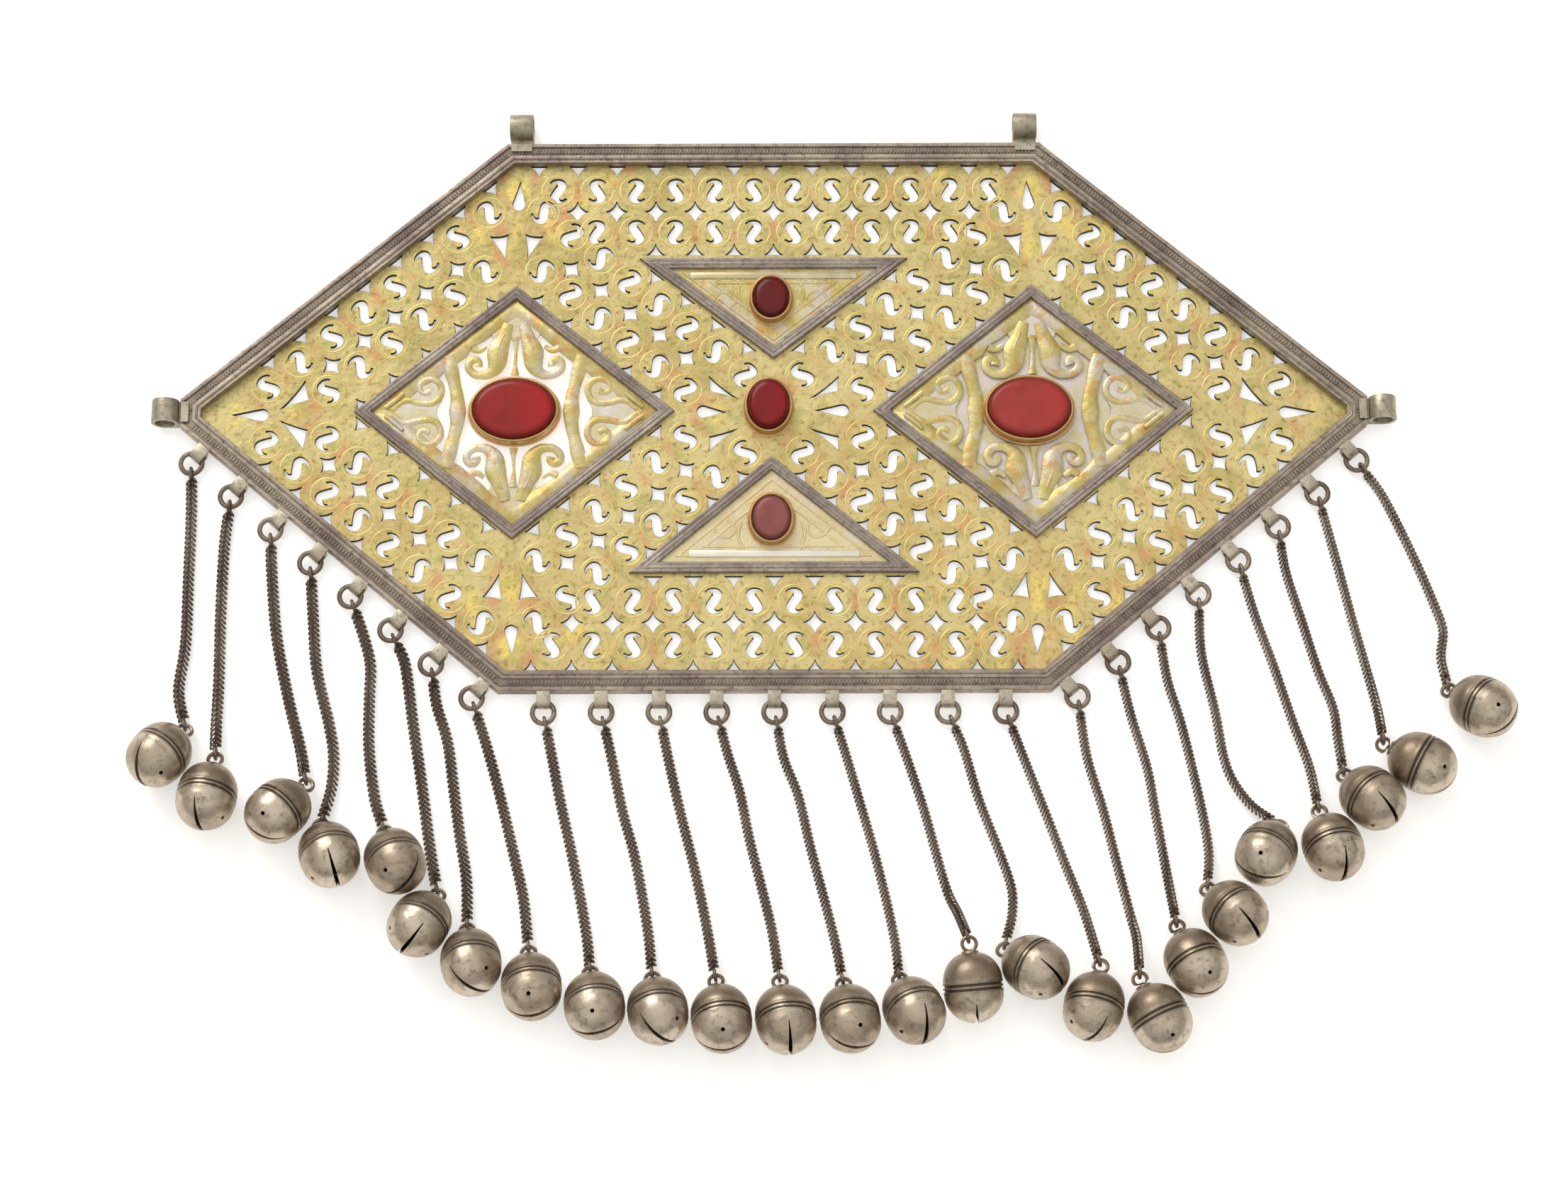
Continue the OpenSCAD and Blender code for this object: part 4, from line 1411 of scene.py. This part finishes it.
def chain_ends(n):
    """Middles of the jump ring, the top link and the end link, and both directions."""
    foot, outward = hanger_place(n)
    ring = foot + outward * RING_OUT
    route = [Vector(p) for p in ROUTES[n]]
    down = (route[0] - ring).normalized()
    top = ring + down * RING_R
    back = -bell_axis(BELLS[n])
    loop = bell_centre(BELLS[n]) + back * LOOP_OUT
    towards = (route[-1] - loop.to_2d()).normalized()
    flat = back.to_2d()
    side = math.atan2(flat.cross(towards), flat.dot(towards))
    reach = LOOP_R * math.hypot(math.cos(side) * flat.length, math.sin(side))
    end = loop.to_2d() + towards * reach
    height = max(LINK_Z, loop.z + LOOP_R * math.cos(side) * back.z)
    return ring, top, down, Vector((end.x, end.y, height)), towards


def chain_line(n):
    """The chain's smooth middle line, from the top link to the end link."""
    ring, top, down, end, towards = chain_ends(n)
    start = top + down * LINK_REACH
    finish = end.to_2d() + towards * LINK_REACH
    points = [(start.x, start.y, CHAIN_Z)] + [(x, y, CHAIN_Z) for x, y in ROUTES[n]]
    raised = CHAIN_Z + (end.z - CHAIN_Z) * END_RISE
    points[-1] = (points[-1][0], points[-1][1], raised)
    points.append((finish.x, finish.y, end.z))
    return smooth_line(points, 12)


lines = [chain_line(n) for n in range(CHAINS)]
lengths = [sum((b - a).length for a, b in zip(line, line[1:])) for line in lines]
print("the weave is", round(min(lengths)), "to", round(max(lengths)), "mm long")


def evenly_along(line, pitch):
    """Places and directions at even steps along a line."""
    found = []
    left = pitch / 2
    for a, b in zip(line, line[1:]):
        run = (b - a).length
        while left <= run:
            found.append((a.lerp(b, left / run), (b - a).normalized()))
            left += pitch
        left -= run
    return found


# %% Weave the chains
UP = Vector((0, 0, 1))
LEAN = math.radians(42)
WEAVE_PITCH = 1.05
WEAVE_ASIDE = 0.54
LINK_SHADE = 0.3
for n in range(CHAINS):
    bm = bmesh.new()
    beside_layer = bm.verts.layers.float.new("beside")
    ring, top, down, end, towards = chain_ends(n)
    lay(bm, jump_ring, Matrix.Translation((ring.x, ring.y, RING_Z)))
    flat_down = down.to_3d()
    lay(bm, end_link, axes_matrix((top.x, top.y, LINK_Z), flat_down, UP))
    lay(bm, end_link, axes_matrix(end, towards.to_3d(), UP))
    for vert in bm.verts:
        vert[beside_layer] = LINK_SHADE
    slim = 1.06 - 0.18 * max(0, min(1, (n - 5) / 8))
    woven = evenly_along(lines[n], WEAVE_PITCH * slim)
    for place, ahead in woven:
        aside = ahead.cross(UP).normalized()
        above = aside.cross(ahead)
        for hand in (-1, 1):
            lean = ahead * math.cos(LEAN) + aside * hand * math.sin(LEAN)
            at = place + (aside * WEAVE_ASIDE + ahead * WEAVE_PITCH / 4) * hand * slim
            size = Matrix.Diagonal((slim, slim * 1.12, slim, 1))
            first = len(bm.verts)
            lay(bm, weave_ring, axes_matrix(at, lean, above) @ size)
            for vert in bm.verts[first:]:
                vert[beside_layer] = abs((vert.co - place).dot(aside)) / slim
    for place, ahead in woven[:2] + woven[-2:]:
        aside = ahead.cross(UP).normalized()
        lay(bm, binding, axes_matrix(place, aside, aside.cross(ahead)))
    number = str(n + 1).zfill(2)
    keep_piece("woven_chain_" + number, bm, chain_silver, ["chain_" + number], 60)

# %% [markdown]
# ## Bells
# Each bell is two raised half balls joined by a ridged band, with a sawn slit and two
# small holes. The outer skin is spun from a profile, the slit's edges are cut with two
# bisecting planes, the strip between them is taken out and its ends are drawn together.
# Solidify's operator then gives the wall its thickness, so the slit shows a real edge.

# %% The bell's profile
def bell_profile():
    """Radius and height from the loop's pole to the lower pole."""
    points = []
    for k in range(15):
        angle = math.radians(-90 + 90 * k / 14 * 0.955)
        points.append((BELL_R * math.cos(angle), -BAND_HALF + BELL_R * math.sin(angle)))
    band = [(6.28, -1.28), (6.38, -1.05), (6.36, -0.8), (6.04, -0.6), (6.04, -0.4)]
    band += [(6.37, -0.2), (6.37, 0.15), (6.04, 0.35), (6.04, 0.55), (6.36, 0.75)]
    band += [(6.38, 1.05), (6.28, 1.28)]
    points += band
    for k in range(1, 15):
        angle = math.radians(90 * (0.045 + 0.955 * k / 14))
        points.append((BELL_R * math.cos(angle), BAND_HALF + BELL_R * math.sin(angle)))
    return points


SLIT_HALF = 0.42
SLIT_FROM = 3.4
SLIT_REACH = 5.9
SLIT_TAPER = 0.8
HOLE_ASIDE = 4.6
HOLE_DOWN = 5.5
HOLE_R = 0.48
WALL = 0.55


def bell_skin():
    """A bell's shell with its slit, about its own centre."""
    bm = bmesh.new()
    points = [bm.verts.new((radius, 0, z)) for radius, z in bell_profile()]
    edges = [bm.edges.new(pair) for pair in zip(points, points[1:])]
    bmesh.ops.spin(
        bm, geom=points + edges, axis=(0, 0, 1), angle=math.tau, steps=48, use_merge=True
    )
    bmesh.ops.remove_doubles(bm, verts=bm.verts, dist=0.01)
    for side in (-1, 1):
        low = [f for f in bm.faces if f.calc_center_median().z > SLIT_FROM - 1]
        geometry = {g for f in low for g in [f, *f.edges, *f.verts]}
        plane = (0, side * SLIT_HALF, 0)
        bmesh.ops.bisect_plane(bm, geom=list(geometry), plane_co=plane, plane_no=(0, 1, 0))
    taken = []
    for face in bm.faces:
        middle = face.calc_center_median()
        if abs(middle.y) < SLIT_HALF and middle.z > SLIT_FROM:
            taken.append(face)
    bmesh.ops.delete(bm, geom=taken, context="FACES")
    for vert in bm.verts:
        if abs(vert.co.y) < SLIT_HALF + 0.01 and vert.co.z > SLIT_FROM - 0.2:
            vert.co.y *= 1 - SLIT_TAPER * (vert.co.x / SLIT_REACH) ** 2
    for side in (-1, 1):
        spot = Vector((0, side * HOLE_ASIDE, HOLE_DOWN))
        nearest = min(bm.verts, key=lambda v: (v.co - spot).length)
        middle = nearest.co.copy()
        rim = {v for f in nearest.link_faces for v in f.verts if v != nearest}
        bmesh.ops.delete(bm, geom=[nearest], context="VERTS")
        for vert in rim:
            vert.co = middle + (vert.co - middle).normalized() * HOLE_R
    bmesh.ops.recalc_face_normals(bm, faces=bm.faces)
    if sum(f.normal.dot(f.calc_center_median()) for f in bm.faces) < 0:
        bmesh.ops.reverse_faces(bm, faces=bm.faces)
    bmesh.ops.solidify(bm, geom=bm.faces[:], thickness=WALL)
    return bm


bell = bell_skin()
loop_turn = Matrix.Translation((0, 0, -LOOP_OUT)) @ Matrix.Rotation(math.radians(90), 4, "Y")
lay(bell, wire_ring(LOOP_R, 0.43, 20, 6), loop_turn)
cap = spun([(0.05, -7.35), (1.9, -7.2), (1.7, -7.6), (0.9, -7.75), (0.05, -7.8)], 24)
lay(bell, as_pattern(cap), Matrix.Identity(4))
bell_pattern = as_pattern(bell)
bell_pattern.calc_loop_triangles()
print("triangles in a bell:", len(bell_pattern.loop_triangles))

# %% Bell silver
bell_silver, colour = tarnished(
    "bell_silver", tint(204, 190, 168), tint(174, 157, 136), tint(106, 88, 72), 0.34, 1.6
)
towards_chain = bell_silver.carries("towards_chain")
colour = bell_silver.blend(towards_chain.held(0.0, 0.3) * 0.75, colour, tint(134, 116, 94))
colour = bell_silver.blend(bell_silver.carries("groove") * 0.85, colour, tint(66, 54, 42))
bell_silver.paint(colour)
print("bell silver nodes:", len(bell_silver.tree.nodes))

# %% Place the bells
GROOVE_WITHIN = 6.2
BAND_SHADE = 0.35
DENT_DEPTH = 0.22
DENT_GRAIN = 0.16
for n, data in enumerate(BELLS):
    bm = bmesh.new()
    bm.from_mesh(bell_pattern)
    chain_share = bm.verts.layers.float.new("towards_chain")
    groove_share = bm.verts.layers.float.new("groove")
    for vert in bm.verts:
        radius = math.hypot(vert.co.x, vert.co.y)
        vert[chain_share] = max(0.0, min(1.0, -vert.co.z / 7.5))
        in_band = abs(vert.co.z) < BAND_HALF
        vert[groove_share] = 1.0 if in_band and radius < GROOVE_WITHIN else BAND_SHADE * in_band
        dent = noise.noise(vert.co * DENT_GRAIN + Vector((n * 3.7, 0, 0)))
        vert.co -= vert.co.normalized() * DENT_DEPTH * max(0.0, dent)
    turn = Matrix.Rotation(math.radians(data[2]), 4, "Z")
    turn = turn @ Matrix.Rotation(math.radians(90 - data[3]), 4, "Y")
    slit_turn = Matrix.Rotation(math.radians(-data[4]), 4, "Z")
    skin = [v for v in bm.verts if v.co.z > -8]
    bmesh.ops.transform(bm, matrix=slit_turn, verts=skin)
    bmesh.ops.transform(bm, matrix=Matrix.Translation(bell_centre(data)) @ turn, verts=bm.verts)
    number = str(n + 1).zfill(2)
    keep_piece("round_bell_" + number, bm, bell_silver, ["bell_" + number], 40)
